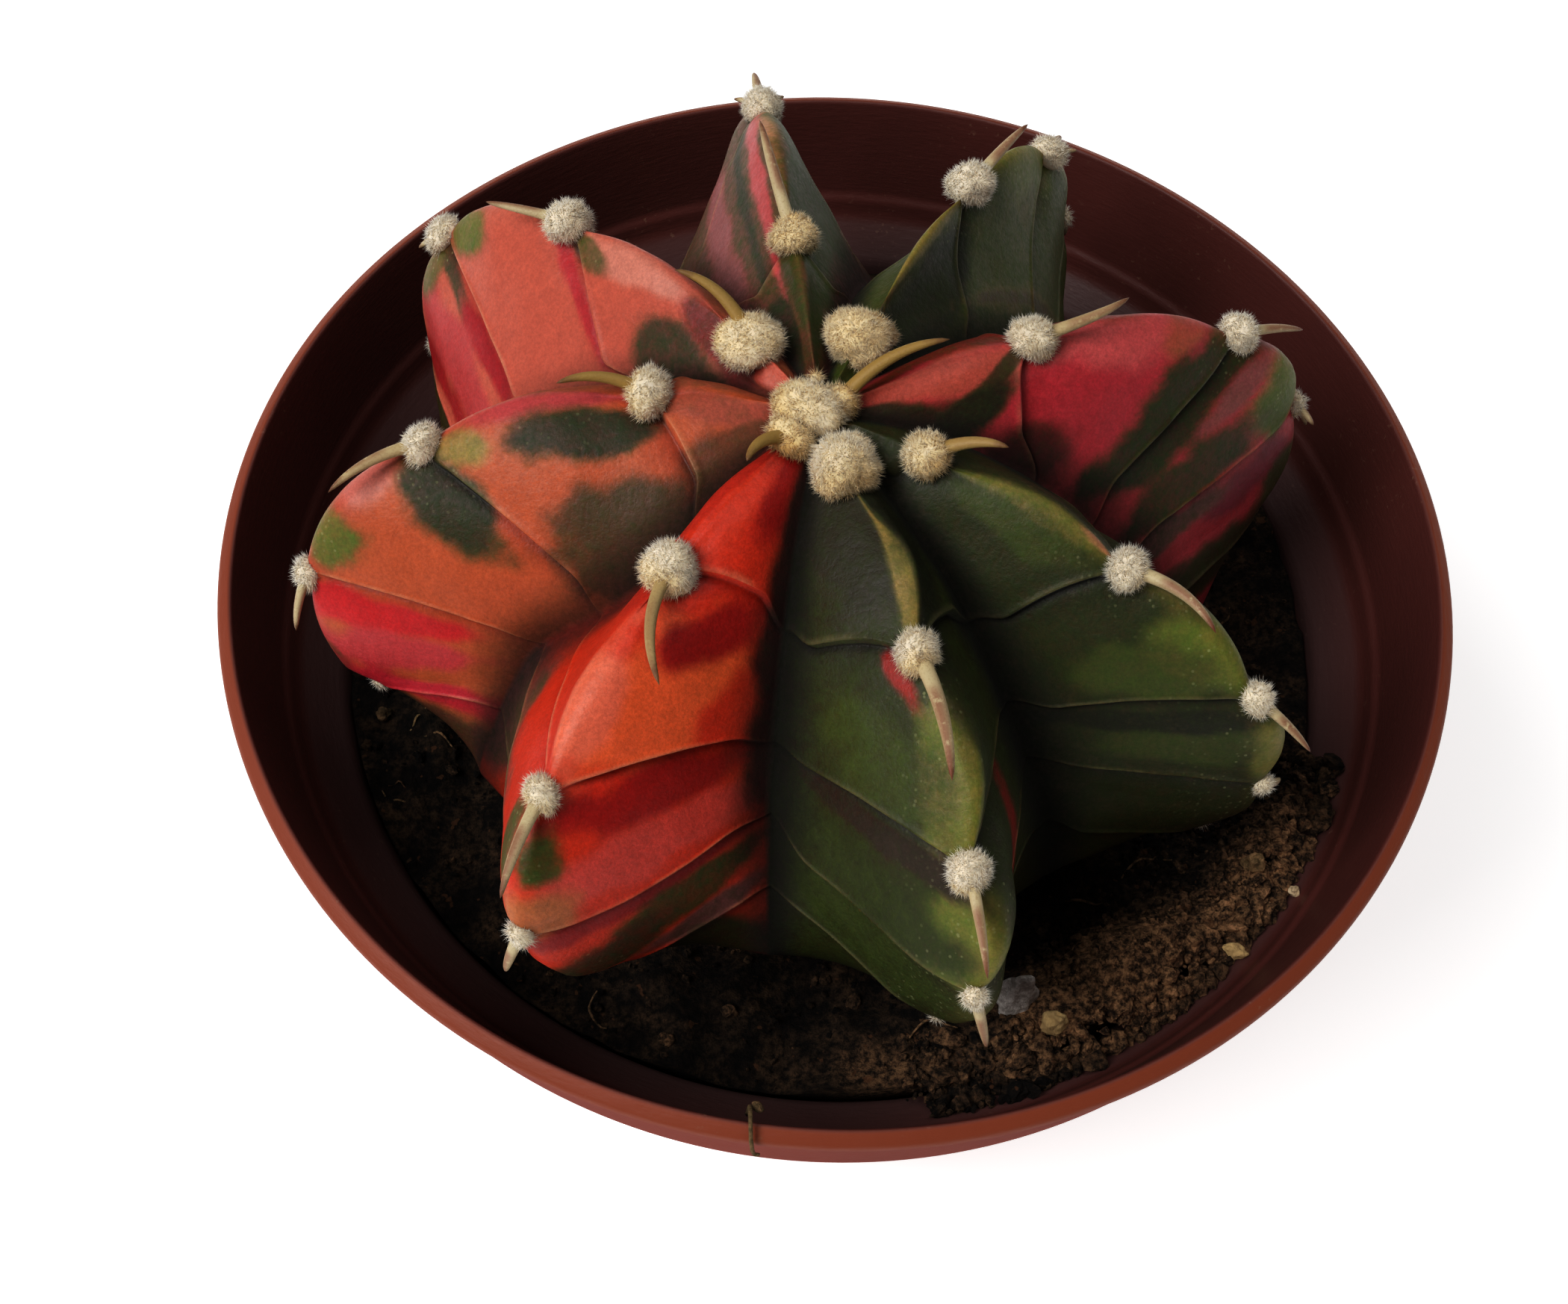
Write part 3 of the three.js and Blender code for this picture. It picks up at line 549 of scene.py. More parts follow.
Patch = namedtuple("Patch", "across level wide tall ground green fresh lean", defaults=(None, None, None, 0))
Coat = namedtuple("Coat", "ground green fresh crest patches")
COATS = {
    "A": Coat(SCARLET, 0.0, 0.3, (SCARLET, 0.0), [
        (0.75, 8, 0.4, 10, DEEP_RED),
        (0.2, 12, 0.35, 8, srgb(230, 74, 44)),
        (0.35, 36, 0.4, 12, srgb(255, 118, 66)),
        (0.6, 29, 0.4, 4, DEEP_RED),
        (0.5, 53, 0.5, 5, DEEP_RED),
        (0.5, 63, 0.5, 6, srgb(232, 88, 74)),
        (0.02, 37, 0.2, 12, srgb(246, 128, 96)),
        (0.08, 68, 0.18, 6, srgb(206, 120, 70), 0.1, 0.6),
        (0.09, 57.5, 0.12, 5, None, 0.95, 0.45),
        (0.55, 75, 0.5, 3, DEEP_RED, 0.0, None, -3),
        (0.72, 83.5, 0.42, 6.5, None, 0.88, 0.3, -3),
        (0.25, 87, 0.3, 5.5, None, 0.9, 0.1),
        (0.7, 95, 0.35, 5, MAUVE, 0.6, 0.1),
        (0.4, 112, 0.7, 14, BROWN, 0.8, 0.1),
        (1.0, 30, 0.14, 40, srgb(110, 20, 14), 0.4, 0.0),
        (-0.8, 88, 0.55, 24, MAUVE, 0.72, 0.4),
        (-0.16, 60, 0.1, 9, None, 0.9, 0.5),
        (-0.5, 10, 0.5, 18, srgb(210, 60, 40)),
    ]),
    "B": Coat(BROWN, 0.96, 0.2, (STRAW, 0.55), [
        (-0.6, 12, 0.5, 14, srgb(84, 66, 44), 0.8, 0.05),
        (-0.08, 16, 0.1, 10, STRAW, 0.55, 0.55),
        (-0.12, 41, 0.2, 13, STRAW, 0.86, 0.9),
        (-0.12, 65, 0.2, 8, STRAW, 0.86, 0.9),
        (-0.45, 42, 0.35, 8, None, None, 0.4),
        (-0.27, 28.5, 0.11, 4.2, srgb(184, 44, 34), 0.12),
        (-0.42, 54.5, 0.4, 3.2, srgb(86, 62, 52), 0.6, 0.0, 2),
        (-0.55, 67, 0.5, 6, None, 1.0, 0.22),
        (-0.6, 84, 0.5, 9, None, 1.0, 0.3),
        (0.62, 72, 0.1, 20, CRIMSON, 0.4),
        (0.32, 76, 0.05, 14, BROWN, 0.6),
        # Painted shade: near the crown, the flank towards rib C is painted the darkest green
        (0.5, 14, 0.5, 16, None, 1.0, 0.0),
    ]),
    "C": Coat(STRAW, 0.98, 0.12, (STRAW, 0.5), [
        (-0.08, 20, 0.13, 10, None, 0.85, 0.6),
        (-0.3, 22, 0.25, 9, None, None, 0.38),
        (0.02, 28, 0.07, 3, PALE_PINK, 0.3),
        (-0.13, 50, 0.24, 8, None, 0.92, 0.9),
        (-0.4, 52, 0.3, 7, None, None, 0.42),
        (-0.05, 74, 0.12, 8, STRAW, 0.78, 0.75),
        (-0.4, 72, 0.3, 6, None, None, 0.3),
        (-0.5, 65, 0.5, 3, None, 1.0, 0.0),
    ]),
    "D": Coat(srgb(214, 66, 78), 0.06, 0.3, (PINK, 0.6), [
        (-0.25, 9, 0.5, 9, srgb(214, 104, 86), 0.06),
        (-0.95, 10, 0.28, 12, BROWN, 0.7, 0.1),
        (-0.35, 17.5, 0.4, 1.3, BROWN, 0.6, 0.25),
        (-0.85, 19, 0.35, 4, BROWN, 0.9, 0.05),
        (-0.1, 30, 0.26, 10, srgb(232, 108, 108)),
        (-0.06, 41, 0.16, 4, SALMON, 0.15, 0.5),
        (-0.95, 33, 0.25, 9, srgb(120, 26, 32), 0.4, 0.1),
        (-0.45, 51.5, 0.75, 8.2, None, 0.97, 0.16),
        (-0.28, 59.5, 0.22, 3.2, MAUVE, 0.2),
        (-0.14, 70, 0.24, 8.5, STRAW, 0.95, 0.85),
        (-0.65, 68, 0.4, 7.5, None, 0.93, 0.2),
        (-0.4, 84, 0.3, 4.5, srgb(168, 40, 72), 0.2),
        (-0.85, 80, 0.3, 5, MAUVE, 0.65, 0.2),
        (-0.1, 94, 0.3, 8, BROWN, 0.75, 0.35),
        (-0.5, 103, 0.5, 10, BROWN, 0.8, 0.2),
        (0.5, 40, 0.45, 60, CRIMSON, 0.55, 0.2),
    ]),
    "E": Coat(STRAW, 0.96, 0.4, (STRAW, 0.7), [
        (-0.03, 20, 0.14, 14, STRAW, 0.7, 0.65),
        (-0.6, 24, 0.45, 14, None, 1.0, 0.08),
        (-0.1, 54, 0.4, 12, None, 0.88, 0.85),
        (-0.5, 56, 0.3, 10, None, None, 0.45),
        (-0.75, 60, 0.05, 30, BROWN, 0.6),
    ]),
    "F": Coat(PINK, 0.8, 0.3, (STRAW, 0.4), [
        (0.03, 48, 0.1, 14, PALE_PINK, 0.35, 0.7),
        (0.3, 38, 0.3, 9, PINK, 0.04, None, -80),
        (0.5, 42, 0.3, 6, None, 0.96, 0.15, -80),
        (0.74, 50, 0.35, 11, MAUVE, 0.1, None, -80),
        (0.15, 16, 0.3, 9, None, 0.95, 0.3),
        (0.8, 12, 0.3, 8, None, 0.97, 0.1),
        (-0.45, 40, 0.42, 50, None, 0.98, 0.4),
    ]),
    "G": Coat(SALMON, 0.0, 0.3, (PALE_PINK, 0.35), [
        (0.15, 24, 0.2, 10, PALE_PINK, 0.0),
        (0.92, 22, 0.46, 10, None, 0.9, 0.12),
        (0.5, 13, 0.5, 5, CRIMSON, 0.55, 0.1),
        (0.2, 33, 0.14, 4, None, 0.8, 0.45),
        (0.45, 38.5, 0.42, 1.6, srgb(206, 60, 66), 0.0),
        (0.1, 60, 0.14, 6, None, 0.9, 0.95),
        (0.32, 70.5, 0.28, 2.6, None, 0.85, 0.2),
        (0.6, 70, 0.3, 3.5, CRIMSON, 0.0),
        (0.45, 82, 0.5, 8, srgb(206, 76, 74), 0.0),
        (0.12, 78, 0.1, 6, None, 0.85, 0.7),
        (0.4, 92, 0.45, 4, CRIMSON, 0.1),
        (0.4, 108, 0.6, 10, BROWN, 0.7, 0.2),
        (-0.6, 50, 0.5, 60, SALMON, 0.35, 0.4),
    ]),
    "H": Coat(ORANGE, 0.0, 0.4, (PINK, 0.4), [
        (0.3, 8, 0.5, 6, SALMON, 0.3, 0.2),
        (0.8, 12, 0.28, 9, srgb(150, 76, 52), 0.35, 0.3),
        (0.0, 24, 0.12, 11, PINK, 0.0),
        (0.28, 23, 0.22, 8, None, 0.96, 0.08, -10),
        (0.95, 30, 0.42, 15, srgb(128, 68, 42), 0.6, 0.2),
        (0.12, 37, 0.12, 4, STRAW, 0.45, 0.9),
        (0.3, 45.5, 0.28, 6, None, 0.97, 0.12, 12),
        (0.03, 51, 0.12, 5, PALE_PINK, 0.0),
        (0.1, 62.5, 0.2, 5.5, None, 0.93, 0.95),
        (0.35, 74.5, 0.55, 4.5, srgb(222, 46, 50), 0.0, None, -6),
        (0.4, 83, 0.5, 5, srgb(214, 76, 78), 0.0, None, -4),
        (0.05, 89, 0.1, 4, BROWN, 0.7, 0.3),
        (0.5, 95, 0.6, 6, srgb(208, 50, 66), 0.0, None, 10),
        (0.4, 112, 0.7, 11, srgb(130, 70, 60), 0.5, 0.2),
        (-0.6, 50, 0.5, 60, SALMON, 0.4, 0.3),
    ]),
}


# Sizes in millimetres: the ragged edges of the patches, the shade below a crease, and how far its ridge and
# furrow can reach. Creases are drawn between the first and the second of two ranges of levels.
PATCH_EDGE, PATCH_EDGE_SIZE = 0.38, 2.6
SHADE_LENGTH, CREASE_REACH = 1.5, 3.0
CREASE_LEVELS = (8, 16), (95, 110)


def paint_patches(coat, side, points, reach, level):
    """The ground colour, the share of green and its freshness that a coat's patches leave at points."""
    edge = PATCH_EDGE * rough(points, PATCH_EDGE_SIZE, 5, seed=5)
    ground = np.broadcast_to(coat.ground, points.shape)
    green = np.full(reach.shape, float(coat.green))
    fresh = np.full(reach.shape, float(coat.fresh))
    for patch in (Patch(*row) for row in coat.patches):
        beside = side * reach - patch.across
        down = (level - patch.level - patch.lean * side * beside) / patch.tall
        share = 1 - smooth(np.hypot(beside / patch.wide, down) + edge, 0.68, 1.2)
        if patch.ground is not None:
            ground = blend(ground, np.array(patch.ground), share[..., None])
        if patch.green is not None:
            green = blend(green, patch.green, share)
        if patch.fresh is not None:
            fresh = blend(fresh, patch.fresh, share)
    return ground, green, fresh


def paint_flank(index, side, points, reach, level, band, length):
    """What the skin's material reads at points of a flank: their ground, marks, creases and valley, with its
    painted shade.
    """
    coat = COATS[RIBS[index].name]
    ground, green, fresh = paint_patches(coat, side, points, reach, level)

    # The skin is shaded below each crease
    crossing = across_flank(reach, 0.2, 0.6)
    shade = bell(band * length / SHADE_LENGTH) * crossing
    ground = ground * (1 - 0.4 * shade[..., None] * np.array((0.5, 1.0, 1.0)))
    fresh = fresh * (1 - 0.6 * shade)

    # A painted highlight runs along the crest: it is paler, less green and fresher
    crest_highlight_colour, crest_highlight_share = coat.crest
    crest = bell(reach / 0.1) * crest_highlight_share * within(level, (6, 16), (80, 100))
    ground = blend(ground, np.array(crest_highlight_colour), crest[..., None])
    green = green * (1 - 0.35 * crest)
    fresh = fresh + 0.5 * crest

    # The valley between two ribs is greener and duller, and darker with painted shade
    valley = smooth(reach, 0.72, 1.0)
    green = blend(green, np.maximum(green, 0.6), 0.6 * valley)
    fresh = fresh * (1 - 0.8 * valley)

    speckle = bell((reach - 0.12) / 0.22) * green * smooth(level, 14, 30)
    above, below = (np.clip(part * length / CREASE_REACH, 0, 1) for part in (1 - band, band))
    drawn = crossing * within(level, *CREASE_LEVELS)
    marks = together(green, np.clip(fresh, 0, 1), speckle)
    return ground, marks, together(above, below, drawn), together(valley, valley, valley)


def skin_material():
    shader = Shader(
        "skin",
        Specular_IOR_Level=0.38,
        Subsurface_Weight=0.1,
        Subsurface_Scale=0.001,
        Subsurface_Radius=(1.0, 0.35, 0.2),
    )
    ground, _ = shader.marks("ground")
    _, (green, fresh, speckle) = shader.marks("marks")
    _, (above, below, drawn) = shader.marks("crease")
    _, (valley, _, _) = shader.marks("valley")
    grain = shader.noise(0.3, 4, 0.7)
    cells = shader.noise(0.9, 3, 0.6)

    # The edge between green and ground is mottled, most where they are even
    mottle = shader.swing(shader.plus(shader.times(grain, 0.55), shader.times(cells, 0.45)), 1.1)
    room = shader.times(green, shader.minus(1.06, green), 4)
    shifted = shader.plus(green, shader.times(mottle, room))
    amount = shader.maths("MINIMUM", shader.maths("MAXIMUM", shifted, 0.0), 1.0)
    tone = shader.plus(fresh, shader.times(mottle, 0.5), clamped=True)
    base = shader.mix(amount, ground, shader.mix(tone, DARK_GREEN, FRESH_GREEN))

    # A crease is a thin pale ridge that comes and goes, above a furrow darkened with painted shadow
    wander = shader.swing(shader.noise(0.6, 3), 0.1)
    faint = shader.ramp(shader.noise(3.5, 2), 0.35, 0.6)
    ridge = shader.times(shader.ramp(shader.plus(above, wander), 0.15, 0.0), drawn, faint, 0.44)
    base = shader.mix(ridge, base, shader.mix(amount, srgb(232, 172, 132), srgb(130, 126, 84)))
    furrow_shade_strength = shader.plus(0.2, shader.times(amount, 0.65))
    furrow = shader.times(shader.ramp(shader.plus(below, wander), 0.25, 0.02), drawn, furrow_shade_strength)
    base = shader.mix(furrow, base, shader.darken(base, srgb(130, 100, 96)))

    # Fine pale pores on the green, streaks down the ribs and painted shade in the valleys
    pores = shader.node("TexVoronoi", {"Vector": shader.place(), "Scale": 1 / (0.34 * MM)})
    pore = shader.ramp(pores.outputs["Distance"], 0.3, 0.12)
    pore = shader.times(pore, shader.ramp(shader.noise(1.3, 3), 0.4, 0.62), shader.times(speckle, 0.45))
    base = shader.mix(pore, base, srgb(186, 188, 138))
    streaks = shader.noise(0.5, 3, 0.6, stretch=(1, 1, 0.25))
    base = shader.darken(base, shader.mix(streaks, srgb(168, 168, 168), WHITE), 0.6)
    fine = shader.ramp(shader.noise(0.16, 2, 0.8), 0.3, 0.7)
    base = shader.darken(base, shader.mix(fine, srgb(150, 150, 146), WHITE), 0.3)
    # Painted shade darkens the valleys
    base = shader.mix(shader.times(valley, 0.85), base, shader.darken(base, srgb(104, 88, 78)))

    roughness = shader.spread(shader.ramp(grain, 0.2, 0.9), 0.38, 0.58)
    duller = shader.plus(shader.times(valley, 0.4), shader.times(amount, 0.08))
    roughness = shader.plus(roughness, duller, clamped=True)
    return shader.finish(base, roughness, bumps=[(cells, 0.03), (grain, 0.04)])


def make_skin():
    columns, paints = [], []
    for index in range(RIB_COUNT):
        for side in (-1, 1):
            points, *rest = flank_rows(index, side)
            painted = paint_flank(index, side, points, *rest)
            order = slice(None, 0, -1) if side < 0 else slice(0, COLUMNS_PER_FLANK)
            columns.append(points[:, order])
            paints.append([layer[:, order] for layer in painted])
    body = np.concatenate(columns, axis=1)
    count = body.shape[1]
    start = (math.radians(RIBS[0].belly + RIBS[-1].belly) - 2 * math.pi) / 2
    azimuths = start + 2 * np.pi * np.arange(count) / count
    tip_z = SOIL_LEVEL - ROOT_DEPTH
    neck = PLANT + polar(ROOT_RADIUS, azimuths, SOIL_LEVEL + SOIL_GAP)
    tip = PLANT + polar(ROOT_TIP_RADIUS, azimuths, tip_z + 1)
    crown = PLANT + (0, 0, CREST_BELLY + CREST_RISE - CROWN_DIP)
    points, faces = close_rings(crown, [*body, neck, tip], PLANT + (0, 0, tip_z))
    shown = add_object("skin", points, faces, skin_material())
    for name, parts in zip(("ground", "marks", "crease", "valley"), zip(*paints)):
        layer = np.concatenate(parts, axis=1)
        root = np.repeat(layer[-1:, 0], 2 * count + 1, axis=0)
        add_values(shown, name, np.concatenate([layer[:1, 0], layer.reshape(-1, 3), root]))
    return shown


# Wool: a cushion on each areole, matted with short curled fibres and fuzzy at its edge
def wool_material():
    shader = Shader(
        "wool",
        Roughness=0.95,
        Specular_IOR_Level=0.15,
        Sheen_Weight=0.2,
        Subsurface_Weight=0.3,
        Subsurface_Scale=0.0005,
        Subsurface_Radius=(1.0, 0.9, 0.7),
    )
    _, (age, depth, _) = shader.marks("marks")
    patchy = shader.plus(age, shader.swing(shader.noise(0.9, 3), 0.7))
    colour = shader.mix(shader.ramp(patchy, 0.2, 0.75), srgb(255, 249, 234), srgb(250, 232, 192))
    colour = shader.mix(shader.ramp(patchy, 0.7, 1.25), colour, srgb(214, 178, 114))
    # Painted shade: the core of a cushion and the roots of its down are darker and yellower
    colour = shader.mix(shader.times(depth, 0.4), colour, srgb(214, 184, 134))
    return shader.finish(colour, bumps=[(shader.noise(0.14, 3, 0.7), 0.03)])


def icosphere(detail):
    """Points and triangles of a round ball: an icosahedron whose faces are cut in four, detail times."""
    golden = (1 + math.sqrt(5)) / 2
    corners = [(0, s, t * golden) for s in (-1, 1) for t in (-1, 1)]
    points = [p[i:] + p[:i] for i in range(3) for p in corners]
    points = list(unit(np.array(points, float)))
    edge = min(np.linalg.norm(points[0] - p) for p in points[1:]) * 1.01
    faces = []
    for a, b, c in combinations(range(len(points)), 3):
        trio = [points[a], points[b], points[c]]
        if all(np.linalg.norm(trio[i] - trio[i - 1]) < edge for i in range(3)):
            outward = np.dot(np.cross(trio[1] - trio[0], trio[2] - trio[0]), trio[0]) > 0
            faces.append((a, b, c) if outward else (a, c, b))
    for _ in range(detail):
        middles, finer = {}, []
        for a, b, c in faces:
            for pair in ((a, b), (b, c), (c, a)):
                if frozenset(pair) not in middles:
                    middles[frozenset(pair)] = len(points)
                    points.append(unit(points[pair[0]] + points[pair[1]]))
            ab, bc, ca = (middles[frozenset(pair)] for pair in ((a, b), (b, c), (c, a)))
            finer += [(a, ab, ca), (b, bc, ab), (c, ca, bc), (ab, bc, ca)]
        faces = finer
    return np.array(points), np.array(faces)


SPHERES = {detail: icosphere(detail) for detail in (0, 1, 2, 3)}
CUSHION_LUMPS, CUSHION_LUMP_SIZE = 0.19, 1.3
DOWN_PER_MM2, DOWN_RADIUS = 240, 0.016
DOWN_LENGTHS = (0.14, 0.5)
TUFT_SIZE, TUFT_LEAN = 0.5, 1.3
CURLS_PER_MM2, CURL_RADIUS = 5, 0.012
CURL_STATIONS, CURL_LENGTHS = 3, (0.2, 0.6)
# Fibres differ in age and direction, and none grow where the cushion meets the rib
FIBRE_AGES, HAIR_SCATTER, WOOL_BACK = (-0.2, 0.2), 0.4, -0.6
LARGE_CUSHION = 0.7
# A cushion's core is smaller than the cushion, because its down stands off it
WOOL_CORE = 0.88

Cushion = namedtuple("Cushion", "centre axes radius shape age")


def cushion_surface(ways, cushion):
    """Points where directions leave a cushion, in its frame: down the rib, to its side, off the crest."""
    lumps = rough(unit(ways) * cushion.radius + cushion.centre, CUSHION_LUMP_SIZE, 3, seed=8)
    swell = cushion.radius * (1 + CUSHION_LUMPS * lumps)
    return unit(ways) * np.array(cushion.shape) * swell[..., None]


def wool_age(ways, age):
    """Wool is white where it is new and yellows towards its older side, down the rib."""
    return age + 0.55 * smooth(ways[..., 0] - 0.35 * ways[..., 2], -0.3, 1.1)


def scatter_ways(per_mm2, radius, generator):
    ways = unit(generator.normal(size=(int(per_mm2 * 4 * math.pi * radius**2), 3)))
    return ways[ways[:, 2] > WOOL_BACK]


def wool_values(ages, depths):
    """The marks of each point of many fibres, from each fibre's age and the depths of a fibre's points, where
    painted shade falls.
    """
    return together(ages[:, None], depths, 0.0).reshape(-1, 3)


def add_down(parts, cushion, generator):
    """Short fine hairs, each a thin pyramid, that stand out all over a cushion and lean in tufts."""
    ways = scatter_ways(DOWN_PER_MM2, cushion.radius, generator)
    places = ways * cushion.radius + cushion.centre
    tufts = together(*(rough(places, TUFT_SIZE, 2, seed=seed) for seed in (21, 22, 23)))
    heading = unit(ways + TUFT_LEAN * tufts + generator.normal(scale=HAIR_SCATTER, size=ways.shape))
    roots = 0.98 * cushion_surface(ways, cushion)
    across = unit(np.cross(heading, generator.normal(size=ways.shape)))
    over = np.cross(heading, across)
    turns = np.radians((0, 120, 240))[:, None]
    ring = DOWN_RADIUS * (np.cos(turns) * across[:, None] + np.sin(turns) * over[:, None])
    tips = roots + heading * generator.uniform(*DOWN_LENGTHS, size=(len(ways), 1))
    hairs = np.concatenate([roots[:, None] + ring, tips[:, None]], axis=1)
    corners = np.array([(0, 1, 3), (1, 2, 3), (2, 0, 3), (0, 2, 1)])
    faces = (corners + 4 * np.arange(len(ways))[:, None, None]).reshape(-1, 3)
    ages = wool_age(ways, cushion.age) + generator.uniform(*FIBRE_AGES, size=len(ways))
    points = cushion.centre + hairs.reshape(-1, 3) @ cushion.axes
    parts.add(points, triangles=faces, value=wool_values(ages, (1, 1, 1, 0)))


def add_curls(parts, cushion, generator):
    """Longer curled fibres that lie loosely on a cushion."""
    ways = scatter_ways(CURLS_PER_MM2, cushion.radius, generator)
    count = len(ways)
    curl = generator.normal(size=ways.shape)
    tangent = unit(curl - ways * np.sum(curl * ways, axis=1, keepdims=True))
    steps = np.linspace(0, 1, CURL_STATIONS)[None, :, None]
    length = generator.uniform(*CURL_LENGTHS, size=(count, 1, 1))
    lift = (0.05 + 0.3 * generator.uniform(0, 1, size=(count, 1, 1))) * steps - 0.03
    spread = ways[:, None] + tangent[:, None] * (steps - 0.3) * length / cushion.radius
    paths = cushion_surface(spread, cushion) + unit(spread) * lift
    radii = CURL_RADIUS * generator.uniform(0.7, 1.2, size=(count, 1)) * np.array((0.8, 1.0, 0.5))
    tubes = sweep(cushion.centre + paths @ cushion.axes, radii, 3, (ways + 0.01) @ cushion.axes)
    ages = wool_age(ways, cushion.age) + generator.uniform(*FIBRE_AGES, size=count)
    parts.add(*tubes, value=wool_values(ages, np.zeros(len(tubes[0]) // count)))


def add_cushion(parts, cushion, generator):
    points, faces = SPHERES[3 if cushion.radius > LARGE_CUSHION else 2]
    core = cushion.centre + cushion_surface(points, cushion) @ cushion.axes
    parts.add(core, triangles=faces, value=together(wool_age(points, cushion.age), 1.0, 0.0))
    add_down(parts, cushion, generator)
    add_curls(parts, cushion, generator)


# Each cushion's size down the rib, to its side and off the crest, and how yellow it is, where it isn't plain
PLAIN_WOOL = ((1, 1.05, 0.98), 0.1)
WOOL = {
    "A1": ((1.1, 1.4, 0.85), 0.8),
    "B1": ((1.0, 1.02, 0.95), 0.45),
    "C1": ((1.0, 1.0, 0.95), 0.6),
    "D1": ((1.2, 1.1, 1.1), 0.9),
    "E1": ((1.0, 1.1, 0.9), 0.7),
    "F1": ((1.0, 1.0, 0.5), 0.8),
    "G1": ((1.15, 1.3, 0.85), 0.5),
    "H1": ((1.45, 1.1, 1.0), 0.5),
    "A2": ((1.05, 1.05, 1.1), 0.25),
    "B2": ((1.1, 0.95, 1.1), 0.35),
    "D2": ((1.0, 1.0, 1.0), 0.3),
    "F2": ((1.0, 1.1, 0.95), 0.75),
    "H2": ((0.95, 1.2, 1.0), 0.35),
    "A3": ((1.0, 1.05, 1.0), 0.35),
}


def make_wool(rib, material):
    generator = np.random.default_rng(ord(rib.name))
    parts = Parts()
    for number, areole in enumerate(rib.areoles, start=1):
        shape, age = WOOL.get(f"{rib.name}{number}", PLAIN_WOOL)
        centre = crest_point(rib, float(areole.level))
        axes = np.array(areole_frame(rib, areole.level))
        add_cushion(parts, Cushion(centre, axes, WOOL_CORE * areole.wool, shape, age), generator)
    return parts.make(f"wool_{rib.name}", material)


# Spines: curved, a little flattened, pale with brown sides and tips
def spine_material():
    shader = Shader("spine", Roughness=0.5, Specular_IOR_Level=0.4)
    _, (share, stripe, tan) = shader.marks("marks")
    blotch = shader.noise(0.6, 4, 0.7)
    scales = shader.noise(0.12, 3, 0.7)
    specks = shader.times(shader.ramp(scales, 0.5, 0.72), 0.35)
    bone = shader.mix(tan, srgb(206, 193, 162), srgb(160, 132, 74))
    bone = shader.mix(specks, bone, srgb(136, 98, 68))
    worn = shader.plus(share, shader.swing(blotch, 0.35))
    tipped = shader.mix(shader.ramp(worn, 0.72, 1.05), bone, srgb(108, 72, 46))
    striped = shader.times(stripe, shader.ramp(blotch, 0.3, 0.45))
    return shader.finish(shader.mix(striped, tipped, srgb(124, 62, 40)), bumps=[(scales, 0.02)])


SPINE_RADIUS = 0.43
SPINE_TAPER = 0.4
SPINE_ARCH = 0.12
# A brown stripe runs along each pale spine, at a turn around it and from a share of its length
STRIPE_TURN, STRIPE_START = 1.2, (0.28, 0.4)
SPINE_SIDES, SPINE_RINGS = 12, 18
TAN_SPINES = {"A1": 1.0, "A2": 0.7, "C1": 0.9, "D1": 1.0, "G1": 1.0, "H2": 1.0, "D2": 0.5, "H3": 0.5}
PLAIN_TAN = 0.3


def add_spine(parts, rib, areole, spine, tan):
    down, sideways, out = areole_frame(rib, areole.level)
    turn, lift = math.radians(spine.turn), math.radians(spine.lift)
    along = down * math.cos(turn) + sideways * math.sin(turn)
    heading = along * math.cos(lift) + out * math.sin(lift)
    beside = unit(np.cross(out, heading))
    start = crest_point(rib, float(areole.level))
    share = np.linspace(0, 1, SPINE_RINGS)
    bend = 2 * share * (1 - share) * SPINE_ARCH * spine.length
    hook = spine.hook * share**3 + spine.bow * 4 * share * (1 - share)
    path = start + np.outer(share * spine.length, heading) + np.outer(bend, out) + np.outer(hook, beside)
    radii = SPINE_RADIUS * spine.thick * (1 - SPINE_TAPER * share) * np.sqrt(np.maximum(1 - share**4, 0.003))
    tube = sweep(path[None], radii[None], SPINE_SIDES, out[None], flat=0.8)
    ring_share = np.concatenate([[0], np.repeat(share, SPINE_SIDES), [1]])
    turns = np.linspace(0, 2 * np.pi, SPINE_SIDES, endpoint=False)
    stripe = np.concatenate([[0], np.tile(bell(turns - STRIPE_TURN), SPINE_RINGS), [0]])
    stripe = stripe * smooth(ring_share, *STRIPE_START) * (1 - tan)
    parts.add(*tube, value=together(ring_share, stripe, tan))


def make_spines():
    parts = Parts()
    for rib in RIBS:
        for number, areole in enumerate(rib.areoles, start=1):
            for spine in areole.spines:
                add_spine(parts, rib, areole, spine, TAN_SPINES.get(f"{rib.name}{number}", PLAIN_TAN))
    return parts.make("spines", spine_material())


# The pot: a flared collar above a shoulder, a tapered wall, a foot ring and a drained floor
def inner_wall_radius(z):
    return blend(FOOT_RADIUS - WALL, SHOULDER_RADIUS, np.clip(z / WALL_TOP, 0, 1))


